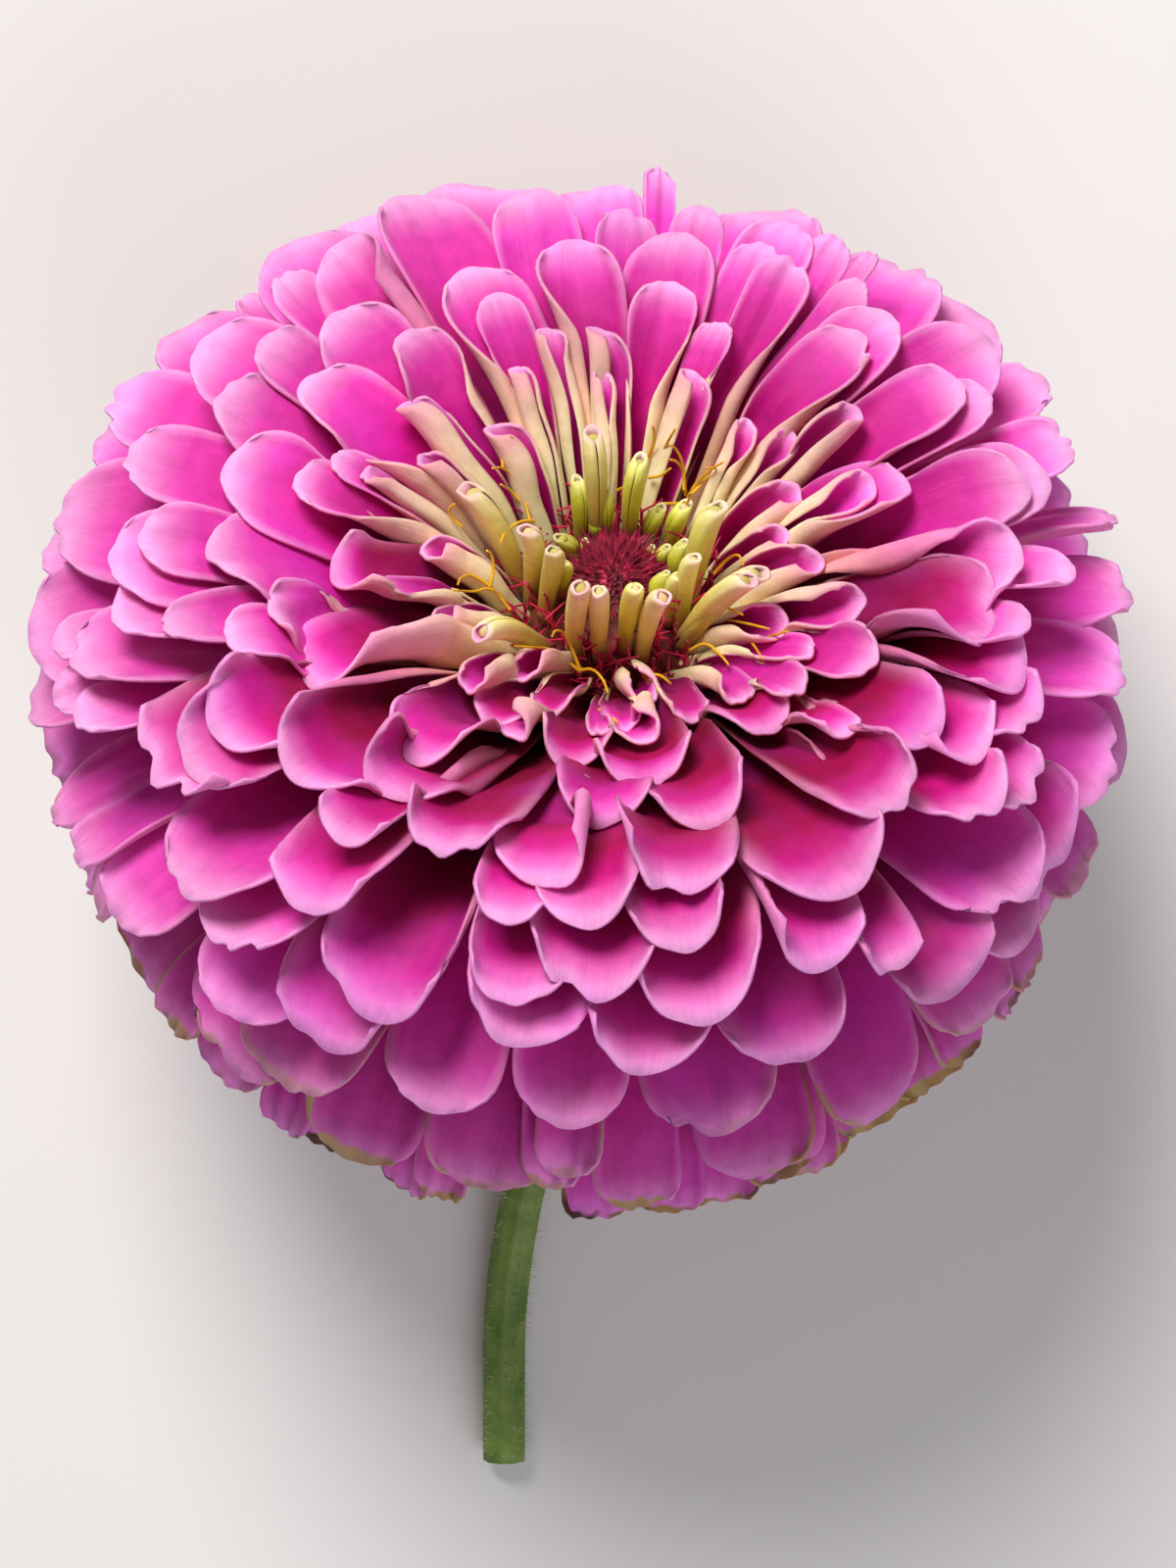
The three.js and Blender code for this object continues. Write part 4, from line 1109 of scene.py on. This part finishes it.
def on_stem(k, turn, off=0.0):
    """A place on the stem's skin, or off it, and the direction straight out from it."""
    tangent = (stem_point(min(1, k + 0.005)) - stem_point(max(0, k - 0.005))).normalized()
    right = Vector((1, 0, 0))
    across = (right - right.dot(tangent) * tangent).normalized()
    outward = math.cos(turn) * across + math.sin(turn) * across.cross(tangent)
    radius = STEM_RADIUS + STEM_SWELL * (1 - smoothstep(0, 0.18, k))
    rib = RIB_HEIGHT * (math.cos(STEM_RIBS * turn + 3 * k) - 1)
    place = stem_point(k) + (radius + rib + off) * outward
    place.z = max(place.z, 0)
    return place, outward


def stem_mesh(name):
    around, along = 72, 60
    bm = bmesh.new()
    bm.loops.layers.uv.new("blade")
    grid = bmesh.ops.create_grid(bm, x_segments=around, y_segments=along, size=0.5, calc_uvs=True)
    for vert in grid["verts"]:
        vert.co, _ = on_stem(vert.co.y + 0.5, 2 * math.pi * (vert.co.x + 0.5))
    bmesh.ops.remove_doubles(bm, verts=bm.verts[:], dist=1e-4)
    bmesh.ops.holes_fill(bm, edges=[edge for edge in bm.edges if edge.is_boundary], sides=0)
    bmesh.ops.recalc_face_normals(bm, faces=bm.faces[:])
    mesh = as_mesh(name, bm, Matrix.Scale(MM, 4))
    for face in mesh.polygons:
        face.use_smooth = len(face.vertices) == 4  # the two ends stay flat
    return mesh


def stem_hairs_mesh(name):
    bm = bmesh.new()
    for index in range(STEM_HAIRS):
        place, outward = on_stem(0.02 + 0.97 * draw(index, 100), 2 * math.pi * draw(index, 101), -0.05)
        tilt = Vector((vary(index, 102), vary(index, 103), vary(index, 104)))
        direction = (outward + 0.35 * tilt).normalized()
        length = mix(0.5, 1.3, draw(index, 105))
        if place.z + direction.z * length > 0.1:
            bristle(bm, place, direction, length, 0.05, 0.1 * vary(index, 106))
    return as_mesh(name, bm, Matrix.Scale(MM, 4), smooth=False)


stem_finish = mottled("stem_tissue", 260, ((0.35, "#55752c"), (0.65, "#7c9444")), Roughness=0.5, **FLESHY)
piece("stem_rod", stem_mesh("stem_rod"), stem_finish, "stem", "stem")
hair_finish = finish("stem_hair", Roughness=0.4, Base_Color=colour("#c9d0a0"))[0]
piece("stem_hairs", stem_hairs_mesh("stem_hairs"), hair_finish, "stem", "stem")

# %% [markdown]
# ## Camera, light and surface
#
# The photo looks down on the head from about 43 degrees off its axis. The flower lies with its axis 45
# degrees up, so the same view is the camera almost straight above it, with the stem at the foot of the
# picture. The scale at the disc and the disc's place in the picture set the lens and the aim.

# %% Camera
FRAME_WIDTH, FRAME_HEIGHT = 1200, 1600
DISC_AT = (627, 567)  # where the disc's middle is in the picture, in pixels
PIXELS_PER_MM = 10.3
CAMERA_DISTANCE = 470  # from the disc's middle, mm
VIEW_OFF_AXIS = math.radians(43)
SENSOR = 36  # mm, the long side

focal_pixels = PIXELS_PER_MM * CAMERA_DISTANCE
sight = AXIS_TILT + VIEW_OFF_AXIS  # the line from the disc to the camera, turned up from +Y
aim = sight - math.atan2(FRAME_HEIGHT / 2 - DISC_AT[1], focal_pixels)
backward = Vector((0, math.cos(aim), math.sin(aim)))
upward = Vector((0, math.sin(aim), -math.cos(aim)))
rightward = Vector((1, 0, 0))
offset = (backward - rightward * (DISC_AT[0] - FRAME_WIDTH / 2) / focal_pixels
          - upward * (FRAME_HEIGHT / 2 - DISC_AT[1]) / focal_pixels)

camera_data = bpy.data.cameras.new("camera")
camera_data.sensor_fit = "AUTO"
camera_data.sensor_width = SENSOR
camera_data.lens = SENSOR * focal_pixels / FRAME_HEIGHT
camera_data.clip_start = 0.01
camera = new_object("camera", camera_data)
camera.matrix_world = Matrix.Translation(MM * (DISC_MIDDLE + CAMERA_DISTANCE * offset)) @ Matrix(
    (rightward, upward, backward)).transposed().to_4x4()
bpy.context.scene.camera = camera
print("lens, mm:", camera_data.lens, "camera at", tuple(camera.location))


# %% Light and the pale surface
def area_light(name, place, target, size, power, tone):
    data = bpy.data.lights.new(name, "AREA")
    data.shape = "DISK"
    data.size = size
    data.energy = power
    data.color = colour(tone)[:3]
    light = new_object(name, data)
    light.location = place
    light.rotation_euler = (Vector(target) - Vector(place)).to_track_quat("-Z", "Y").to_euler()


head_at = MM * DISC_MIDDLE
area_light("key_light", (-0.25, 0.75, 0.85), head_at, 0.5, 13.6, "#fffaf7")
area_light("fill_light", (0.35, -0.75, 0.7), head_at, 0.9, 4.3, "#f2f2ff")

world = bpy.data.worlds.new("studio")
world.use_nodes = True
background = world.node_tree.nodes["Background"]
background.inputs["Color"].default_value = colour("#e9ebee")
background.inputs["Strength"].default_value = 0.27
bpy.context.scene.world = world
bpy.context.scene.view_settings.view_transform = "Standard"

surface_bm = bmesh.new()
bmesh.ops.create_grid(surface_bm, x_segments=1, y_segments=1, size=3)
surface = new_object("surface", as_mesh("surface", surface_bm, Matrix(), smooth=False))
surface.data.materials.append(finish("pale_surface", Roughness=0.8, Base_Color=colour("#e7e5e2"))[0])
